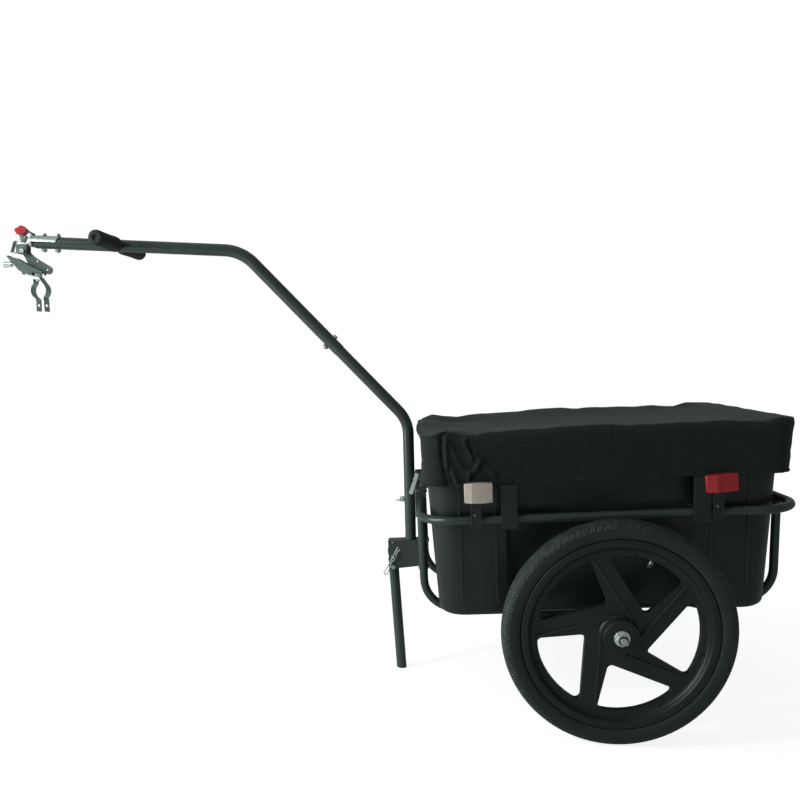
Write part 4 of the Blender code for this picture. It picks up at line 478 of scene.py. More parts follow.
skinned("handle_bar", swept(handle_line, ALONG_Z, HANDLE_R), powder_coat, "frame")
for side_name, side in SIDES:
    weld_bead("handle_weld_" + side_name, handle_middle + ALONG_Y * side * (UPPER_BAR_R - 0.001),
              ALONG_Y * -side, HANDLE_R, nose_way, UPPER_BAR_R)
finished("drawbar_bolt", zinc_plate, 0.0003)

# Grips: black foam rubber sleeves pushed over the handle bar, a little fuller at both ends,
# and closed at the outer end with a small vent hole.
GRIP_R = 0.0150
GRIP_START = 0.018
FOAM_CELLS = 1300.0
# Distance along the grip, and the share of its radius there
GRIP_SHAPE = ((0.0, 0.90), (0.0015, 1.0), (0.010, 1.02), (0.040, 0.985), (0.075, 1.0), (0.087, 1.02),
              (0.0925, 0.97), (0.0945, 0.80), (0.0952, 0.40), (0.0938, 0.26), (0.0900, 0.24))


def foam_rubber():
    """Closed-cell foam: fine pits and a soft, nearly matt skin."""
    material, tree, shader = new_finish("foam_rubber")
    where = own_place(tree)
    cells = laid(tree, "TexVoronoi", {"Vector": where, "Scale": FOAM_CELLS}).outputs["Distance"]
    broad = noise_at(tree, where, 45.0, 4.0)
    fed(tree, shader, {
        "Base Color": blended(tree, broad, (0.012, 0.014, 0.014, 1), (0.030, 0.033, 0.033, 1)),
        "Roughness": ranged(tree, broad, 0.62, 0.82), "Normal": bumped(tree, cells, 0.00018),
        "Specular IOR Level": 0.35})
    return material


def turned_piece(name, foot, way, normal, profile, material, body, sides, smooth, replaces=()):
    """A round piece turned about a line. Its profile gives distances along the line and radii."""
    line = [(foot + way * along, way) for along, _ in profile]
    skinned(name, swept(line, normal, [radius for _, radius in profile], sides), material, body, replaces,
            smooth)


grip_foam = foam_rubber()
for side_name, side in SIDES:
    turned_piece("foam_grip_" + side_name, handle_middle + ALONG_Y * side * GRIP_START, ALONG_Y * side, ALONG_Z,
                 [(along, GRIP_R * share) for along, share in GRIP_SHAPE], grip_foam, "frame", 40, 60,
                 ["grip_" + side_name])

# Brackets: folded 2.5 mm sheet, coated like the tubes. The lower one holds the drawbar's foot and the stand,
# and the upper one straddles the rail with its spring pin, pull ring and latch lever of zinc-plated steel.
# Rivets hold their folded flanges together, bright where the plating shows.
RIVET_HIGH = 0.0009
# Name, place along and up, radius, and the bracket of each rivet
RIVETS = (("upper_a", -0.3356, 0.4421, 0.0017, "upper"), ("upper_b", -0.3337, 0.4289, 0.0015, "upper"),
          ("upper_c", -0.3406, 0.4173, 0.0017, "upper"), ("lower", -0.3969, 0.3095, 0.0015, "lower"))
# Shares of a domed head's height and of its radius, up from its edge and down into its recess
PAN_HEAD = ((0.0, 1.0), (0.35, 1.0), (0.75, 0.86), (0.95, 0.60), (1.0, 0.34), (0.55, 0.20), (0.5, 0.02))

bright_plate = hard_finish("bright_plate", (0.66, 0.67, 0.66), (0.86, 0.87, 0.86), (0.12, 0.28), 1500.0,
                           0.00002, 0.65, marks=60.0, dust=0.02)


def pan_head(name, foot, way, radius, high, material):
    """A domed head with a small recess in its middle."""
    turned_piece(name, foot, way, way.orthogonal().normalized(),
                 [(high * rise, radius * share) for rise, share in PAN_HEAD], material, "frame", 20, 50)


for node, plating, slot_name, edge in (
        ("lower_bracket", powder_coat, "coat", 0.0007), ("upper_bracket", powder_coat, "coat", 0.0007),
        ("stand_pivot_bolt", zinc_plate, "zinc", 0.0003), ("latch_lever", bright_plate, "zinc", 0.0004),
        ("pull_pin", zinc_plate, "zinc", 0.0003), ("pull_ring", zinc_plate, "zinc", 0),
        ("stand_lock_pin", bright_plate, "zinc", 0.0003), ("r_clip", bright_plate, "zinc", 0),
        ("kickstand", powder_coat, "coat", 0)):
    finished(node, plating, edge)
for rivet_name, x, z, radius, bracket in RIVETS:
    face_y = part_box(bracket + "_bracket")[1].y - 0.0002
    for side_name, side in SIDES:
        pan_head(f"rivet_{rivet_name}_{side_name}", Vector((x, side * face_y, z)), ALONG_Y * side, radius,
                 RIVET_HIGH, zinc_plate)

# Tub: one injection-moulded box of black polypropylene, tapered, with a rounded foot, drawn-in long sides,
# shallow grooves up its ends where the side tubes pass, and a turned-out lip.
TUB_MID_X = -0.0078
TUB_FLOOR_Z = 0.2083
TUB_TOP_Z = 0.5438
TUB_FOOT = (0.2967, 0.197)
TUB_TOP = (0.3145, 0.218)
TUB_CORNER = 0.050
TUB_CORNER_STEPS = 12
TUB_FOOT_ROUND = 0.012
TUB_FOOT_STEPS = 8
TUB_WALL = 0.0025
TUB_LIP = 0.0035
TUB_LIP_Z = TUB_TOP_Z - 0.010
GROOVE_ROUND = 0.030
GROOVE_HALF = 0.0105
GROOVE_RAMP = 0.003
RECESS = (-0.170, 0.152)
RECESS_RAMP = 0.010
RECESS_DEPTH = 0.010
RECESS_TOP_Z = 0.500
RECESS_FADE_Z = RECESS_TOP_Z - RECESS_RAMP

moulded_plastic = hard_finish("moulded_polypropylene", (0.0085, 0.0115, 0.0115), (0.018, 0.022, 0.022),
                              (0.28, 0.44), 1500.0, specular=0.42, marks=7.0, dust=0.08)


def tub_half(z):
    """Half the tub's length and width at a height."""
    share = (z - TUB_FLOOR_Z) / (TUB_TOP_Z - TUB_FLOOR_Z)
    return [low + share * (high - low) for low, high in zip(TUB_FOOT, TUB_TOP)]


def foot_inset(height, radius):
    """How far a rounded foot draws in at a height above its bottom."""
    short = max(radius - height, 0)
    return radius - math.sqrt(radius * radius - short * short)


def tub_ring(z, inset, recess, groove=0.0):
    """One level of the tub's wall."""
    half_x, half_y = [half - inset for half in tub_half(z)]
    corner = max(TUB_CORNER - inset, 0.006)
    side_wall = ((RECESS[0] - RECESS_RAMP, 0), (RECESS[0], recess), (RECESS[1], recess),
                 (RECESS[1] + RECESS_RAMP, 0))
    end_wall = [(middle + off, depth) for middle in (SIDE_Y, -SIDE_Y) for off, depth in (
        (GROOVE_HALF + GROOVE_RAMP, 0), (GROOVE_HALF, groove), (-GROOVE_HALF, groove),
        (-GROOVE_HALF - GROOVE_RAMP, 0))]
    walls = (
        [(x, half_y - depth, z) for x, depth in side_wall[::-1]],
        [(TUB_MID_X - half_x + depth, y, z) for y, depth in end_wall],
        [(x, -half_y + depth, z) for x, depth in side_wall],
        [(TUB_MID_X + half_x - depth, y, z) for y, depth in end_wall[::-1]])
    ring = []
    for number, ((side_x, side_y), wall) in enumerate(zip(CORNERS, walls)):
        for step in range(TUB_CORNER_STEPS + 1):
            turn = math.pi / 2 * (number + step / TUB_CORNER_STEPS)
            ring.append((TUB_MID_X + side_x * (half_x - corner) + corner * math.cos(turn),
                         side_y * (half_y - corner) + corner * math.sin(turn), z))
        ring += wall
    return ring


def tub_foot(wall):
    """The levels of the rounded foot, bottom first, on the outside or a wall's thickness inside it."""
    rings = []
    for step in range(TUB_FOOT_STEPS + 1):
        height = GROOVE_ROUND * (step / TUB_FOOT_STEPS) ** 1.5
        inset = foot_inset(height, TUB_FOOT_ROUND - wall)
        rings.append(tub_ring(TUB_FLOOR_Z + wall + height, wall + inset, RECESS_DEPTH,
                              foot_inset(height, GROOVE_ROUND) - inset))
    return rings


# Height, inset and recess depth of each level up the outside, over the lip and down inside
tub_upper = [tub_ring(z, inset, recess) for z, inset, recess in (
    (RECESS_FADE_Z, 0, RECESS_DEPTH), (RECESS_FADE_Z + 0.003, 0, 0.8 * RECESS_DEPTH), (RECESS_TOP_Z, 0, 0),
    (TUB_LIP_Z, 0, 0), (TUB_LIP_Z, -TUB_LIP + 0.0008, 0), (TUB_LIP_Z + 0.0008, -TUB_LIP, 0),
    (TUB_TOP_Z - 0.0012, -TUB_LIP, 0), (TUB_TOP_Z, -TUB_LIP + 0.0012, 0), (TUB_TOP_Z, TUB_WALL - 0.001, 0),
    (TUB_TOP_Z - 0.001, TUB_WALL, 0), (RECESS_TOP_Z, TUB_WALL, 0), (RECESS_FADE_Z, TUB_WALL, RECESS_DEPTH))]
skinned("moulded_tub", ring_shape(tub_foot(0.0) + tub_upper + tub_foot(TUB_WALL)[::-1]), moulded_plastic,
        "cargo_tub", ["tub"], 28)

# The tub's hooks: four webs out over the rail, each with a plate down its outside, moulded with the wall.
# They hang the tub on the rail and keep it from sliding along it.
HOOK_XS = (("front", -0.175), ("rear", 0.1557))
HOOK_HALF_X = 0.0145
HOOK_LOW_Z, HOOK_TOP_Z = 0.379, 0.459
HOOK_WALL = 0.0025
WEB_THICK = 0.004

web_low = RAIL_Z + TUBE_R + 0.0009
hook_inner = RAIL_HALF_Y + TUBE_R + 0.0006
hook_outer = hook_inner + HOOK_WALL
hook_root = tub_half(web_low)[1] - TUB_WALL / 2 - RECESS_DEPTH
hook_outline = ((hook_root, web_low), (hook_inner, web_low), (hook_inner, HOOK_LOW_Z), (hook_outer, HOOK_LOW_Z),
                (hook_outer, HOOK_TOP_Z), (hook_inner, HOOK_TOP_Z), (hook_inner, web_low + WEB_THICK),
                (hook_root, web_low + WEB_THICK))
for side_name, side in SIDES:
    for end_name, middle in HOOK_XS:
        ends = (middle - HOOK_HALF_X, middle + HOOK_HALF_X)
        hook = ring_shape([[(x, side * y, z) for y, z in hook_outline] for x in ends])
        hook_piece = skinned(f"tub_hook_{end_name}_{side_name}", hook, moulded_plastic, "cargo_tub")
        eased(hook_piece, 0.0008, segments=3)

# The tub's ribs: shallow upright ribs on its walls and short ones under the lip, all in the same moulding.
# They stiffen the walls, and each follows the wall's own lean.
RIB_OUT = 0.0022
RIB_STEPS = 5
# Places along the wall, half width, and heights of the foot and the top
SIDE_RIBS = (((-0.262, -0.198, 0.180, 0.243), 0.0022, 0.232, 0.470),
             ((-0.115, -0.060, 0.020, 0.070), 0.0018, 0.503, 0.530))
END_RIBS = ((-0.060, 0.0, 0.060), 0.0020, 0.232, 0.500)


def wall_rib(place, out_x, out_y, half, low_z, high_z):
    """A rib up the wall that faces one way, at a place along that wall."""
    rings = []
    for step in range(RIB_STEPS + 1):
        z = low_z + (high_z - low_z) * step / RIB_STEPS
        half_x, half_y = tub_half(z)
        base_x = TUB_MID_X + out_x * half_x if out_x else place
        base_y = out_y * half_y if out_y else place
        rise = RIB_OUT if 0 < step < RIB_STEPS else 0.0002
        rings.append([(base_x - out_y * off * half + out_x * out, base_y + out_x * off * half + out_y * out, z)
                      for off, out in ((-1, -0.001), (-0.7, rise), (0.7, rise), (1, -0.001))])
    return ring_shape(rings)


def together(shapes):
    """Several shapes as one."""
    points, faces = [], []
    for more_points, more_faces in shapes:
        faces += [tuple(len(points) + index for index in face) for face in more_faces]
        points += more_points
    return points, faces


tub_ribs = [wall_rib(place, 0, side, *sizes) for _, side in SIDES for places, *sizes in SIDE_RIBS
            for place in places]
tub_ribs += [wall_rib(place, side, 0, *END_RIBS[1:]) for _, side in SIDES for place in END_RIBS[0]]
skinned("tub_ribs", together(tub_ribs), moulded_plastic, "cargo_tub")

# Cover: one piece of black coated cloth with its corners sewn and an elastic hem, pulled over the tub's lip.
# It sags between the rims, rolls over the front edge, and wrinkles from the near front corner down the skirt.
COVER_MID_X = -0.0065
COVER_HALF = (0.332, 0.2305)
COVER_CORNER = 0.040
COVER_STEPS = 900
CLOTH_THICK = 0.0008
HEM_Z = 0.4605
FRONT_WAIST = 0.0122
GATHER_X = -0.195
THREADS = 260.0
# Place along the cover, and the height of its upper edge over the tub's
CREST = ((-0.337, 0.0052), (-0.308, 0.0132), (-0.280, 0.0062), (-0.250, 0.0042), (-0.225, 0.0072),
         (-0.190, 0.0092), (-0.140, 0.0087), (-0.090, 0.0112), (-0.045, 0.0142), (0.000, 0.0132),
         (0.035, 0.0102), (0.080, 0.0112), (0.160, 0.0087), (0.210, 0.0092), (0.250, 0.0048),
         (0.265, 0.0038), (0.293, 0.0122), (0.320, 0.0107))
# Share down the skirt, inset along X at the front, at the back, and along Y
SKIRT = ((1.0, 0.0086, 0.0098, 0.0030), (0.95, 0.0092, 0.0100, 0.0030), (0.85, 0.0110, 0.0092, 0.0026),
         (0.7, 0.0122, 0.0084, 0.0022), (0.55, 0.0124, 0.0074, 0.0020), (0.42, 0.0118, 0.0064, 0.0017),
         (0.30, 0.0098, 0.0052, 0.0018), (0.20, 0.0062, 0.0034, 0.0022), (0.13, 0.0026, 0.0020, 0.0032),
         (0.08, 0.0010, 0.0016, 0.0050), (0.035, 0.0008, 0.0018, 0.0078))
SKIRT_ROWS = 36
# Drop below the upper edge and distance in from it, for each ring of the top
TOP = ((0.0006, 0.0104), (0.0004, 0.0140), (0.0008, 0.019), (0.0018, 0.028), (0.0036, 0.040), (0.0068, 0.058),
       (0.0092, 0.080), (0.0108, 0.105), (0.0118, 0.135), (0.0120, 0.165), (0.0120, 0.195))
TOP_SETTLES = 0.0085
# Folds of the skirt at the near front corner: x and z of both ends, height of the fold and its half width
FOLDS = (
    (-0.3230, 0.5560, -0.3050, 0.5390, 0.0028, 0.0028), (-0.3016, 0.5520, -0.3010, 0.5166, -0.0037, 0.0033),
    (-0.3010, 0.5166, -0.2976, 0.4868, -0.0035, 0.0033), (-0.2976, 0.4868, -0.2891, 0.4600, -0.0028, 0.0031),
    (-0.2930, 0.5456, -0.2935, 0.4906, 0.0032, 0.0037), (-0.2879, 0.5400, -0.2680, 0.4934, 0.0021, 0.0024),
    (-0.2680, 0.4934, -0.2548, 0.4850, 0.0021, 0.0024), (-0.2606, 0.5420, -0.2480, 0.5083, 0.0030, 0.0037),
    (-0.2540, 0.5330, -0.2420, 0.5120, -0.0030, 0.0026), (-0.2480, 0.5083, -0.2420, 0.5140, 0.0025, 0.0028),
    (-0.2420, 0.5120, -0.2326, 0.5040, 0.0032, 0.0033), (-0.2326, 0.5040, -0.2400, 0.4883, 0.0037, 0.0037),
    (-0.2400, 0.4883, -0.2540, 0.4790, 0.0037, 0.0037), (-0.2540, 0.4790, -0.2536, 0.4640, 0.0030, 0.0031),
    (-0.2326, 0.5040, -0.2066, 0.4750, 0.0025, 0.0033), (-0.2839, 0.4862, -0.2750, 0.4660, 0.0028, 0.0031),
    (-0.2750, 0.4660, -0.2656, 0.4576, 0.0028, 0.0031), (-0.2900, 0.4880, -0.2820, 0.4640, -0.0028, 0.0031),
    (-0.3250, 0.4720, -0.2988, 0.4610, 0.0025, 0.0037))


def cover_place(turn, inset_x, inset_y, push):
    """A point at a share of the way round a rounded rectangle, pushed out by a fold."""
    half_x, half_y = COVER_HALF[0] - inset_x, COVER_HALF[1] - inset_y
    corner = max(COVER_CORNER - min(inset_x, inset_y), 0.004)
    straight = [2 * (half_x - corner), 2 * (half_y - corner)] * 2
    arc = corner * math.pi / 2
    walk = turn * (2 * sum(straight[:2]) + 4 * arc)
    for number, (side_x, side_y) in enumerate(CORNERS):
        centre = Vector((side_x * (half_x - corner), side_y * (half_y - corner)))
        if walk <= arc or number == 3 and walk > arc + straight[3]:
            turned = number * math.pi / 2 + min(walk, arc) / corner
            out = Vector((math.cos(turned), math.sin(turned)))
            break
        walk -= arc
        if walk <= straight[number]:
            turned = (number + 1) * math.pi / 2
            out = Vector((math.cos(turned), math.sin(turned)))
            centre += Vector((-out.y, out.x)) * walk
            break
        walk -= straight[number]
    return centre + out * (corner + push) + Vector((COVER_MID_X, 0))


def bump_at(value, middle, width):
    """A smooth bump of height one at a middle."""
    return math.exp(-((value - middle) / width) ** 2)


def skirt_fold(x, y, z, down):
    """How far the skirt stands out: slack waves along its sides, and the folds gathered at a front corner."""
    gathered = 0.0
    if x < GATHER_X:
        for start_x, start_z, end_x, end_z, high, half in FOLDS:
            off = Vector((x - start_x, z - start_z))
            run = Vector((end_x - start_x, end_z - start_z))
            gap = (off - run * min(1.0, max(0.0, off.dot(run) / run.length_squared))).length
            if gap < 3 * half:
                gathered += high * bump_at(gap, 0, half)
    slack = math.sin(17 * x + 2.2 * down + 0.6) * math.sin(7.3 * x + 1.0)
    small = noise.noise(Vector((26 * x, 26 * y, 9 * down)))
    small += 0.5 * noise.noise(Vector((60 * x, 60 * y, 22 * down)))
    front = bump_at(x, -0.345, 0.03) * math.sin(31 * y + 5 * down) * 0.6
    loose = min(1.0, 4 * down)
    fold = gathered * (1 if y < 0 else 0.7) + loose * (0.0009 * slack * down + 0.0009 * small) + 0.0010 * front
    pucker = 0.0005 * math.sin(240 * (x + y)) * max(0.0, down - 0.86) / 0.14
    return max(-0.0046, min(0.0040, fold + pucker))


def top_wave(x, y, inset):
    """The top's soft waves: broad ones across it, and short tucks that die out from the rim inwards."""
    broad = noise.noise(Vector((5.5 * x, 8 * y, 0.4))) * 0.0034
    ridge = math.sin(34 * x + 18 * y) * noise.noise(Vector((4 * x, 4 * y, 3.0))) * 0.0018
    fine = noise.noise(Vector((38 * x, 38 * y, 1.7))) * 0.0009
    fade = min(1.0, inset / 0.03)
    tuck = math.sin(95 * x + 70 * abs(y)) * bump_at(inset, 0.012, 0.012) * 0.0005
    return (broad + ridge) * fade + fine * (0.3 + 0.7 * fade) + tuck


def tucked(y):
    """One where the front edge is drawn in at the near corner, fading to nothing at its bulging middle."""
    share = min(1.0, max(0.0, (-0.02 - y) / 0.12))
    return share * share * (3 - 2 * share)


def cover_rings():
    """Rings of the cloth, from the hem up the skirt and in over the top."""
    around = []
    for step in range(COVER_STEPS):
        flat = cover_place(step / COVER_STEPS, 0, 0, 0)
        front = min(1.0, max(0.0, 0.5 - (flat.x - COVER_MID_X) / (2 * COVER_HALF[0])))
        crest = TUB_TOP_Z + float(np.interp(flat.x, *zip(*CREST)))
        around.append((step / COVER_STEPS, flat, front, crest))
    rings = []
    downs, *insets = [column[::-1] for column in zip(*SKIRT)]
    for row in range(SKIRT_ROWS):
        down = 1.0 + (downs[0] - 1.0) * (row / (SKIRT_ROWS - 1))
        front_in, back_in, inset_y = [float(np.interp(down, downs, column)) for column in insets]
        ring = []
        for turn, flat, front, crest in around:
            inset_x = back_in + (front_in - back_in) * front
            if flat.x < 0:
                inset_x += (FRONT_WAIST - inset_x) * tucked(flat.y) * min(1.0, (1 - down) / 0.3)
            hem_z = HEM_Z + 0.0012 * math.sin(9 * flat.x + 1) + 0.0016 * bump_at(flat.x, -0.33, 0.03)
            z = crest - down * (crest - hem_z)
            spot = cover_place(turn, inset_x, inset_y, skirt_fold(flat.x, flat.y, z, down))
            ring.append((spot.x, spot.y, z))
        rings.append(ring)
    for drop, inset in TOP:
        ring = []
        for turn, flat, front, crest in around:
            drawn_in = FRONT_WAIST * tucked(flat.y) * front * max(0.0, 1 - inset / 0.06)
            spot = cover_place(turn, inset + drawn_in, inset, 0)
            settled = crest + (TUB_TOP_Z + TOP_SETTLES - crest) * min(1.0, inset / 0.15) - drop
            ring.append((spot.x, spot.y, settled + top_wave(spot.x, spot.y, inset)))
        rings.append(ring)
    return rings


def woven_cloth():
    """Coated polyester: a plain weave of fine threads, broad soft shading and a little sheen."""
    weave, given, out = socket_group("plain_weave", {"Threads per metre": 900.0}, ["Height", "Shade"])
    where = own_place(weave)
    waves = [laid(weave, "TexWave", {"Vector": where, "Scale": given["Threads per metre"], "Distortion": 0.4,
                                     "Detail": 1.0}, bands_direction=way).outputs["Fac"] for way in "XYZ"]
    crossed = worked(weave, "MAXIMUM", worked(weave, "MAXIMUM", waves[0], waves[1]), waves[2])
    creased = noise_at(weave, where, 55.0, 3.0, 0.55)
    fed(weave, out, {"Height": worked(weave, "ADD", worked(weave, "MULTIPLY", crossed, 0.35), creased),
                     "Shade": noise_at(weave, where, 9.0, 5.0, 0.6)})
    material, tree, shader = new_finish("coated_cloth")
    threads = laid(tree, "Group", {"Threads per metre": THREADS}, node_tree=weave).outputs
    fed(tree, shader, {
        "Base Color": blended(tree, threads["Shade"], (0.0052, 0.0075, 0.0073, 1), (0.0130, 0.0168, 0.0162, 1)),
        "Roughness": ranged(tree, threads["Shade"], 0.66, 0.84),
        "Normal": bumped(tree, threads["Height"], 0.0007), "Specular IOR Level": 0.22,
        "Sheen Weight": 0.10, "Sheen Roughness": 0.5})
    return material


cloth = woven_cloth()
rings = cover_rings()
cover_points, cover_faces = ring_shape(rings, capped=False)
# The middle of the top is a fan from the last ring to a point a little below it.
last = (len(rings) - 1) * COVER_STEPS
fan_x = sum(point[0] for point in rings[-1]) / COVER_STEPS
fan_z = sum(point[2] for point in rings[-1]) / COVER_STEPS
cover_points.append((fan_x, 0.0, fan_z - 0.0005))
cover_faces += [(last + step, last + (step + 1) % COVER_STEPS, last + COVER_STEPS)
                for step in range(COVER_STEPS)]
cover = skinned("cloth_cover", (cover_points, cover_faces), cloth, "rain_cover", ["cover"], 180)
thickness = cover.modifiers.new("cloth_thickness", "SOLIDIFY")
thickness.thickness = CLOTH_THICK
thickness.offset = -1

# The cover's hem: the cloth turned over a round elastic and sewn down, all along the foot of the skirt.
# The elastic puckers it.
HEM_R = 0.0017

skirt_foot = [Vector(point) for point in rings[0]]
hem_line = []
for step, point in enumerate(skirt_foot):
    ahead = (skirt_foot[(step + 1) % COVER_STEPS] - skirt_foot[step - 1]).normalized()
    hem_line.append((point + ALONG_Z * 0.0004 + ALONG_Z.cross(ahead).normalized() * 0.0002, ahead))
hem_sizes = [HEM_R * (1 + 0.10 * math.sin(step * 0.9)) for step in range(COVER_STEPS)]
hem = skinned("cover_hem", swept(hem_line, ALONG_Z, hem_sizes, 8, closed=True), cloth, "rain_cover",
              smooth=180)

# Reflectors: a moulded lens, pale in front and red behind, chamfered all round, with three flat fields of fine
# prisms. Each sits in a black housing on a carrier strap that hooks over the rail, held by one small screw.
LENS_THICK = 0.010
PRISMS = 560.0
# Shares of the half height and of the thickness, from the lens's foot to its top
LENS_ROWS = ((-1.0, 0.62), (-0.93, 1.0), (0.93, 1.0), (1.0, 0.62))

carrier_y = RAIL_HALF_Y + TUBE_R + 0.0006
lens_back = carrier_y + 0.0028


def prism_group():
    """Rows of tiny prisms as a height, and their painted sparkle, bright or dark from prism to prism, as a shade.
    """
    tree, given, out = socket_group("lens_prisms", {"Prisms per metre": 500.0}, ["Height", "Sparkle"])
    cells = laid(tree, "TexVoronoi", {"Vector": own_place(tree), "Scale": given["Prisms per metre"],
                                      "Randomness": 0.15}).outputs
    sparkle = laid(tree, "SeparateColor", {0: cells["Color"]}).outputs["Red"]
    fed(tree, out, {"Height": cells["Distance"], "Sparkle": sparkle})
    return tree


lens_prisms = prism_group()


def lens_finish(name, deep, bright, rough):
    """A glossy lens over its prisms, with their sparkle painted between the colours of a shaded and a glinting
    face.
    """
    material, tree, shader = new_finish(name)
    prisms = laid(tree, "Group", {"Prisms per metre": PRISMS}, node_tree=lens_prisms).outputs
    fed(tree, shader, {
        "Base Color": blended(tree, prisms["Sparkle"], (*deep, 1), (*bright, 1)),
        "Roughness": ranged(tree, prisms["Sparkle"], *rough),
        "Normal": bumped(tree, prisms["Height"], 0.00025, 0.5), "Coat Weight": 0.4})
    return material


def lens_shape(middle, half_x, half_z, tilt, facets, deep):
    """A tilted lens of upright fields. A facet is (share of the half width, share of the thickness)."""
    rings = []
    for share_x, depth in ((-1.0, 0.30), (-0.965, 0.50), *facets, (0.965, 0.80), (1.0, 0.45)):
        barrel = 1 - 0.07 * share_x ** 4 - (0.10 if abs(share_x) == 1 else 0)
        ring = [(up, deep * LENS_THICK * depth * share) for up, share in LENS_ROWS]
        ring += [(up, 0) for up, _ in LENS_ROWS[::-1]]
        rings.append([middle + tilt @ Vector((half_x * share_x, out, half_z * up * barrel))
                      for up, out in ring])
    points, faces = ring_shape(rings, capped=False)
    for end in (0, len(points) - 8):
        faces += [(end + row, end + row + 1, end + 6 - row, end + 7 - row) for row in range(3)]
    return points, faces


pale_lens = lens_finish("pale_reflector", (0.49, 0.385, 0.33), (0.56, 0.445, 0.385), (0.20, 0.34))
red_lens = lens_finish("red_reflector", (0.30, 0.004, 0.008), (0.44, 0.010, 0.016), (0.14, 0.30))
# Place along and up, half width and height, tilt, lens, slot, and the fields of each pair
reflectors = (
    ("front", -0.2282, 0.4470, 0.0250, 0.0186, 0.0, pale_lens, "pale_lens", ((-0.48, 0.97), (0.30, 1.0))),
    ("rear", 0.1860, 0.4477, 0.0270, 0.0166, 2.6, red_lens, "red_lens", ((-0.32, 1.0), (0.36, 0.78))))
for end_name, x, z, half_x, half_z, degrees, glass, slot_name, facets in reflectors:
    tilt = Matrix.Rotation(-math.radians(degrees), 3, "Y")
    for side_name, side in SIDES:
        middle = Vector((x, side * lens_back, z))
        lens = skinned(f"{end_name}_lens_{side_name}", lens_shape(middle, half_x, half_z, tilt, facets, side),
                       glass, "frame", [f"{end_name}_reflector_{side_name}"], 8)
        eased(lens, 0.0005, angle=24, harden=False)
        # A black housing shows as a thin dark rim behind the lens.
        housing = lens_shape(middle + ALONG_Z * 0.0009, 1.03 * half_x, 1.06 * half_z, tilt, facets, 0.3)
        skinned(f"{end_name}_lens_housing_{side_name}", housing, moulded_plastic, "frame", smooth=30)
        finished(f"{end_name}_carrier_{side_name}", moulded_plastic, 0.0005)

# Carrier screws and side flanges: a small pan-head screw of darkened zinc through each strap, between two
# upright flanges moulded with the strap.
SCREW_R = 0.0028
SCREW_HIGH = 0.0018
SCREW_Z = 0.4065
FLANGE_OFF = 0.0080
FLANGE_HALF = 0.0007
FLANGE_LOW_Z, FLANGE_TOP_Z = 0.384, 0.426

dark_zinc = hard_finish("dark_zinc", (0.10, 0.11, 0.11), (0.24, 0.25, 0.25), (0.30, 0.50), 1400.0, 0.00003, 1.0,
                        marks=70.0)
for end_name, strap_x in (("front", -0.2333), ("rear", 0.1822)):
    for side_name, side in SIDES:
        face_y = side * (carrier_y + 0.0025)
        pan_head(f"{end_name}_screw_{side_name}", Vector((strap_x - 0.0012, face_y, SCREW_Z)), ALONG_Y * side,
                 SCREW_R, SCREW_HIGH, dark_zinc)
        for flange, way in (("a", -1), ("b", 1)):
            x = strap_x + way * FLANGE_OFF
            flange_shape = ring_shape([
                [(x - FLANGE_HALF, y, FLANGE_LOW_Z), (x + FLANGE_HALF, y, FLANGE_LOW_Z),
                 (x + FLANGE_HALF, y, FLANGE_TOP_Z), (x - FLANGE_HALF, y, FLANGE_TOP_Z)]
                for y in (face_y - side * 0.0005, face_y + side * 0.0012)])
            skinned(f"{end_name}_flange_{side_name}_{flange}", flange_shape, moulded_plastic, "frame")

# Wheels: a moulded black nylon rim with five slanted spokes, a small-block tyre, an inner tube with its valve,
# and an M12 axle bolt with a flanged nut. Rim, tyre and tube turn together.
WHEEL_Y = 0.277
SPOKES = 5
FIFTH = 2 * math.pi / SPOKES
WEB_HALF = 0.0065
RIM_STEPS = 144
RIM_INNER_R = 0.1400
WINDOW_INNER_R = 0.056
WINDOW_TURN = math.radians(-8.3)
WINDOW_ANGLES = (math.radians(-28.7), math.radians(-26.2), math.radians(33.3))
WINDOW_ROUND = 0.008
WINDOW_ARC = 15
SPOKE_RIB = (0.0310, 0.1415)
CHANNEL_RIB = (0.1425, 0.1520)
CHANNEL_RIB_TURNS = (math.radians(8.5), math.radians(55.5))
VALVE_TURN = math.radians(65.0)
VALVE_FOOT = 0.004
TYRE_HALF = 0.0216
TREAD_BLOCKS = 98
TREAD_STEPS = 10
TREAD_HIGH = 0.0021
TREAD_SLANT = 1.25
# Share of the tread's height, and painted light, at each step along a block: -1 is painted shade in a groove, 1 a
# painted glint on the edge after it. Steps 0 and 5 are its grooves.
BLOCK_LIFTS = (0.0, 0.82, 1.0, 1.0, 0.82, 0.45, 0.82, 1.0, 1.0, 0.82)
BLOCK_PAINTED_LIGHTS = (-1.0, 1.0, 0.0, 0.0, 0.0, -1.0, 1.0, 0.0, 0.0, 0.0)
# Distance from the tyre's middle and radius, from its inner edge to the middle of the tread
CARCASS = ((0.0130, 0.1672), (0.0156, 0.1686), (0.0178, 0.1694), (0.0192, 0.1712), (0.0203, 0.1745),
           (0.0211, 0.1785), (0.0215, 0.1822), (0.0216, 0.1850), (0.0214, 0.1872), (0.0211, 0.1880),
           (0.0205, 0.1897), (0.0202, 0.1902), (0.0184, 0.1930), (0.0180, 0.1934), (0.0154, 0.1950),
           (0.0149, 0.1953), (0.0120, 0.1964), (0.0115, 0.1966), (0.0086, 0.1973), (0.0081, 0.1974),
           (0.0050, 0.1977), (0.0045, 0.1978), (0.0012, 0.1979), (0.0007, 0.1979))
# The row of blocks that each point of the carcass belongs to, and -1 on the bare wall
TREAD_ROWS = (*[-1] * 9, 6, 6, 6, 5, 5, 4, 4, 3, 3, 2, 2, 1, 1, 0, 0)
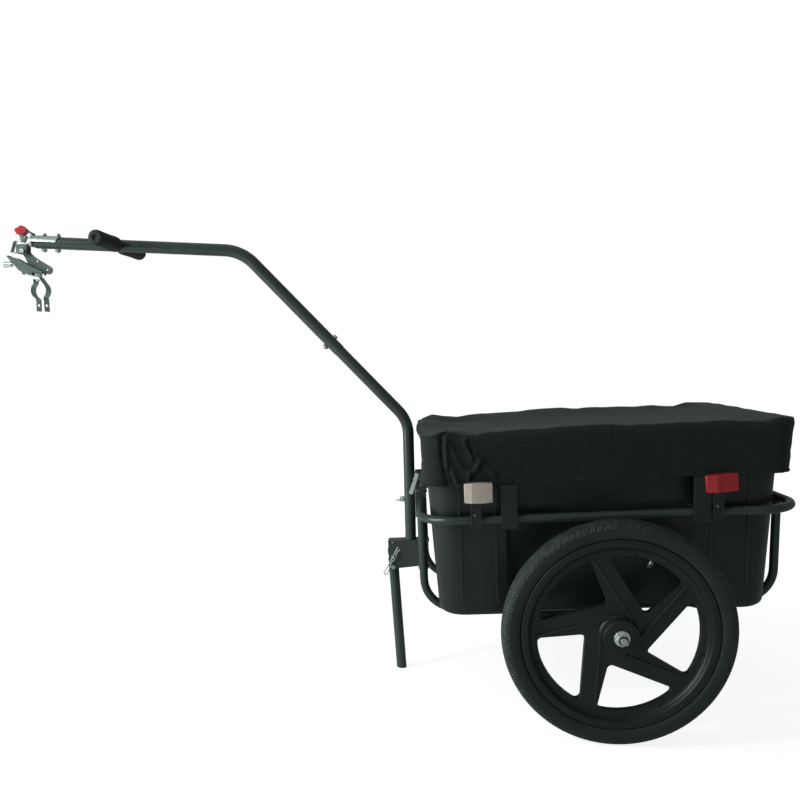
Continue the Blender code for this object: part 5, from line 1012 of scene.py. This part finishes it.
# Radius and distance from the rim's middle, round half of its section
RIM_SECTION = (
    (0.0096, 0.0280), (0.0246, 0.0280), (0.0250, 0.0274), (0.0262, 0.0274), (0.0266, 0.0280), (0.0288, 0.0280),
    (0.0298, 0.0272), (0.0304, 0.0180), (0.0316, 0.0102), (0.0340, 0.0074), (0.0380, 0.0065), (0.0800, 0.0065),
    (0.1385, 0.0065), (0.1440, 0.0068), (0.1470, 0.0074), (0.1492, 0.0086), (0.1509, 0.0102), (0.1522, 0.0121),
    (0.1532, 0.0141), (0.1541, 0.0160), (0.1552, 0.0175), (0.1566, 0.0182), (0.1585, 0.0185), (0.1640, 0.0187),
    (0.1668, 0.0184), (0.1676, 0.0176), (0.1674, 0.0145), (0.1640, 0.0120), (0.1590, 0.0118), (0.1560, 0.0065))
# Distance out and radius of the dark ring of painted shade in the nut's mouth, of the bolt's rounded end, and of
# the valve's cap
NUT_MOUTH_SHADE = ((0.0, 0.0086), (0.0004, 0.0086), (0.0005, 0.0083), (0.0002, 0.0060))
BOLT_END = ((0.0, 0.0052), (0.0022, 0.0052), (0.0030, 0.0046), (0.0033, 0.0030), (0.0033, 0.0006))
VALVE_CAP = ((0.1215, 0.0024), (0.1218, 0.0032), (0.1240, 0.0034), (0.1262, 0.0034), (0.1266, 0.0042),
             (0.1276, 0.0042), (0.1280, 0.0046), (0.1320, 0.0046), (0.1330, 0.0042))

blackened = hard_finish("blackened_steel", (0.060, 0.076, 0.074), (0.14, 0.16, 0.157), (0.36, 0.54), 1200.0,
                        0.00004, 0.30, marks=40.0)
# The tyre rubber's lighter edges are partly wear and partly painted glints along the tread blocks.
tyre_rubber = hard_finish("tyre_rubber", (0.0142, 0.0192, 0.0184), (0.036, 0.044, 0.042), (0.50, 0.70), 1100.0,
                          0.00010, specular=0.36, marks=22.0, dust=0.06)
moulded_nylon = hard_finish("moulded_nylon", (0.0098, 0.0128, 0.0126), (0.021, 0.026, 0.025), (0.34, 0.50),
                            1300.0, specular=0.36, marks=9.0, dust=0.15)


def tread_finish():
    """Tyre rubber whose tread reads its own painted light: painted shade darkens the grooves, the block tops stay
    dull, and painted glints lighten the block edges, more on some blocks than others.
    """
    material = tyre_rubber.copy()
    material.name = "tread_rubber"
    tree = material.node_tree
    shader = tree.nodes["Principled BSDF"]
    plain_colour = shader.inputs["Base Color"].links[0].from_socket
    painted_light = laid(tree, "Attribute", attribute_name="tread_painted_light").outputs["Fac"]
    # Painted shade: the grooves are darkened nearly to black.
    groove = worked(tree, "MAXIMUM", worked(tree, "MULTIPLY", painted_light, -0.85), 0.0)
    painted_groove_shade = blended(tree, groove, plain_colour, (0.002, 0.003, 0.003, 1))
    # Painted glints: the block edges after each groove are lightened, patchily, so that some blocks glint and
    # others don't.
    patchy = ranged(tree, noise_at(tree, own_place(tree), 85.0, 4.0, 0.6), 0.10, 1.25, 0.40, 0.62)
    glint = worked(tree, "MULTIPLY", worked(tree, "MULTIPLY", painted_light, patchy), 0.80)
    edge_wear_and_glint = worked(tree, "MAXIMUM", glint, 0.0)
    fed(tree, shader, {"Base Color": blended(tree, edge_wear_and_glint, painted_groove_shade, (0.135, 0.160, 0.150, 1))})
    return material


def tyre_shape(side):
    """The tyre, with slanted, staggered blocks that stand up from the carcass, and the painted light on each
    point: shade in the grooves and glints on the block edges.
    """
    half = [(*place, row) for place, row in zip(CARCASS, TREAD_ROWS)]
    whole = [(-along, radius, row) for along, radius, row in half] + half[::-1]
    segments = TREAD_BLOCKS * TREAD_STEPS
    rings, lights = [], []
    for segment in range(segments):
        ring = []
        for along, radius, row in whole:
            near = along < 0
            width = abs(along) / TYRE_HALF
            shoulder = min(1.0, width ** 4)
            step = (segment + (0 if near else TREAD_STEPS // 2) + 4 * max(row, 0)) % TREAD_STEPS
            lift = TREAD_HIGH * BLOCK_LIFTS[step] if row >= 0 else 0.0
            if row == 6:
                lift *= 0.5 if step < 5 else 0.0
            # The painted light of this point: shade in a groove, a glint on a block edge, or none on the bare
            # wall.
            lights.append(BLOCK_PAINTED_LIGHTS[step] if row >= 0 else 0.0)
            size = radius + lift * (1 - 0.55 * shoulder)
            slant = TREAD_SLANT * width * (1 if near else -1)
            turn = 2 * math.pi * (segment / segments + slant / TREAD_BLOCKS)
            y = side * WHEEL_Y + math.copysign(abs(along) + 0.6 * lift * shoulder, along)
            ring.append((size * math.cos(turn), y, AXLE_Z + size * math.sin(turn)))
        rings.append(ring)
    return ring_shape(rings, closed=True), lights


def rim_shape(side):
    """The rim's section, mirrored, closed and turned about the axle."""
    outline = [*RIM_SECTION, *[(radius, -along) for radius, along in RIM_SECTION[::-1]]]
    turns = [2 * math.pi * step / RIM_STEPS for step in range(RIM_STEPS)]
    return ring_shape([[(radius * math.cos(turn), side * WHEEL_Y + along, AXLE_Z + radius * math.sin(turn))
                        for radius, along in outline] for turn in turns], closed=True)


def window_outline(turn):
    """An opening between two spokes, with its three corners rounded."""
    corner, front, back = WINDOW_ANGLES
    shares = [0.0, *[0.12 + 0.76 * step / (WINDOW_ARC - 1) for step in range(WINDOW_ARC)], 1.0]
    spots = [(WINDOW_INNER_R, turn + corner)]
    spots += [(RIM_INNER_R - 0.0009, turn + front + (back - front) * share) for share in shares]
    corners = [Vector((radius * math.cos(angle), AXLE_Z + radius * math.sin(angle), 0))
               for radius, angle in spots]
    outline = []
    for index, spot in enumerate(corners):
        if 1 < index <= WINDOW_ARC + 1:
            outline.append(spot)
        else:
            run = [corners[index - 1], spot, corners[(index + 1) % len(corners)]]
            outline += [point for point, _ in bent_line(run, WINDOW_ROUND, 8)[1:-1]]
    return outline


def windows_cut(rim, side):
    """Cuts the openings between the spokes through the rim, and rounds their edges as moulding does."""
    cutters = []
    for number in range(SPOKES):
        outline = window_outline(WINDOW_TURN + FIFTH * number)
        through = ring_shape([[(spot.x, side * WHEEL_Y + off, spot.y) for spot in outline]
                              for off in (-0.03, 0.03)])
        cutters.append(in_studio("window_cutter", parked_mesh("window_cutter", *through)))
        opening = rim.modifiers.new("window", "BOOLEAN")
        opening.operation = "DIFFERENCE"
        opening.solver = "EXACT"
        opening.object = cutters[-1]
    bpy.context.view_layer.update()
    cut = bpy.data.meshes.new_from_object(rim.evaluated_get(bpy.context.evaluated_depsgraph_get()))
    rim.modifiers.clear()
    rim.data = cut
    for cutter in cutters:
        bpy.data.objects.remove(cutter)
    eased(rim, 0.0011, angle=50, segments=3, harden=False)


def spoke_rib(turn, side, face):
    """A raised line down a spoke, from the hub's edge to the rim."""
    inner, outer = SPOKE_RIB
    touch = turn - math.acos(inner / outer)
    start = Vector((math.cos(touch), math.sin(touch))) * inner
    end = Vector((math.cos(turn), math.sin(turn))) * outer
    aside = (end - start).normalized().orthogonal()
    rings = []
    for along in (0.0, 0.04, 0.5, 0.96, 1.0):
        middle = start.lerp(end, along)
        high = WEB_HALF + (0.0030 if 0 < along < 1 else 0.0020)
        low = WEB_HALF - 0.001
        rings.append([(middle.x + aside.x * off, side * WHEEL_Y + face * out, AXLE_Z + middle.y + aside.y * off)
                      for off, out in ((-0.0016, low), (-0.0010, high), (0.0010, high), (0.0016, low))])
    return ring_shape(rings)


def channel_rib(turn, side, face):
    """A short radial rib across the rim's channel."""
    corners = ((-0.0008, 0.0058), (-0.0008, 0.0104), (0.0008, 0.0104), (0.0008, 0.0058))
    return ring_shape([[(radius * math.cos(turn + off / radius), side * WHEEL_Y + face * out,
                         AXLE_Z + radius * math.sin(turn + off / radius)) for off, out in corners]
                       for radius in CHANNEL_RIB])


tread_rubber = tread_finish()
for side_name, side in SIDES:
    inner_tube = frame["nodes"]["inner_tube_" + side_name].data
    inner_tube.materials.clear()
    inner_tube.materials.append(tyre_rubber)
    body = "wheel_" + side_name
    block_tyre, tyre_painted_lights = tyre_shape(side)
    tyre = skinned("block_tyre_" + side_name, block_tyre, tread_rubber, body, ["tyre_" + side_name], 32)
    # The tyre carries its painted groove shade and edge glints as a point attribute.
    tyre.data.attributes.new("tread_painted_light", "FLOAT", "POINT").data.foreach_set("value", tyre_painted_lights)
    windows_cut(skinned("spoked_rim_" + side_name, rim_shape(side), moulded_nylon, body,
                        ["rim_" + side_name], 30), side)
    ribs = []
    for face in (-1, 1):
        ribs += [spoke_rib(FIFTH * (number + 0.5), side, face) for number in range(SPOKES)]
        ribs += [channel_rib(FIFTH * number + turn, side, face) for number in range(SPOKES)
                 for turn in CHANNEL_RIB_TURNS]
    skinned("rim_ribs_" + side_name, together(ribs), moulded_nylon, body)
    for node, plating, slot_name in (("hub_bush_", zinc_plate, "steel"), ("axle_bolt_", zinc_plate, "zinc"),
                                     ("axle_nut_", bright_plate, "zinc")):
        finished(node + side_name, plating, 0.0006)
    # The shade in the nut's open mouth is painted as a dark ring round the bolt's bright, rounded end.
    nut_face = max(abs(corner.y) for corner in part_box("axle_nut_" + side_name))
    for part_name, material, profile in (("nut_mouth_shade_", tyre_rubber, NUT_MOUTH_SHADE),
                                         ("bolt_end_", bright_plate, BOLT_END)):
        turned_piece(part_name + side_name, Vector((0, side * nut_face, AXLE_Z)), ALONG_Y * side, ALONG_Z,
                     profile, material, "frame", 32, 30)
    valve_way = Vector((math.cos(VALVE_TURN), 0, math.sin(VALVE_TURN)))
    valve_foot = Vector((0, side * WHEEL_Y, AXLE_Z)) + valve_way * VALVE_FOOT
    turned_piece("valve_cap_" + side_name, valve_foot, valve_way, ALONG_Y, VALVE_CAP, dark_zinc, body,
                 16, 40)

# Hitch: a zinc-plated half sleeve bolted over the drawbar's end, bent down into a tongue. A king pin turns in
# its eye, with a fork block below it that carries the receiver: a yoke plate in a dark folded shoe with two
# bolts. A red release lever sits on top, and a two-strap seat-post clamp hangs under the shoe.
grey_plate = hard_finish("grey_zinc", (0.36, 0.39, 0.385), (0.52, 0.55, 0.54), (0.30, 0.48), 1300.0, 0.00004,
                         0.50, marks=45.0)
red_plastic = hard_finish("red_plastic", (0.48, 0.016, 0.028), (0.62, 0.040, 0.055), (0.18, 0.30), 900.0,
                          0.00003, marks=30.0, dust=0.04, coat=0.3)
for node, material, slot_name, edge in (
        ("hitch_tongue", zinc_plate, "zinc", 0.0005), ("sleeve_bolt_front", zinc_plate, "zinc", 0.0003),
        ("sleeve_bolt_rear", zinc_plate, "zinc", 0.0003), ("king_pin", zinc_plate, "zinc", 0.0004),
        ("coupling_block", blackened, "dark_steel", 0.0004), ("pitch_bolt", zinc_plate, "zinc", 0.0003),
        ("spring_clip", zinc_plate, "zinc", 0.0002), ("release_lever", blackened, "dark_steel", 0.0003),
        ("lever_knob", red_plastic, "red_plastic", 0.0008), ("receiver_yoke", blackened, "dark_steel", 0.0003),
        ("receiver_shoe", blackened, "dark_steel", 0.0004), ("front_bolt", bright_plate, "bright_zinc", 0.0004),
        ("rear_bolt", zinc_plate, "zinc", 0.0003), ("swivel_bolt", bright_plate, "bright_zinc", 0.0003),
        ("clamp_half_front", grey_plate, "steel", 0.0003), ("clamp_half_rear", grey_plate, "steel", 0.0003)):
    finished(node, material, edge)
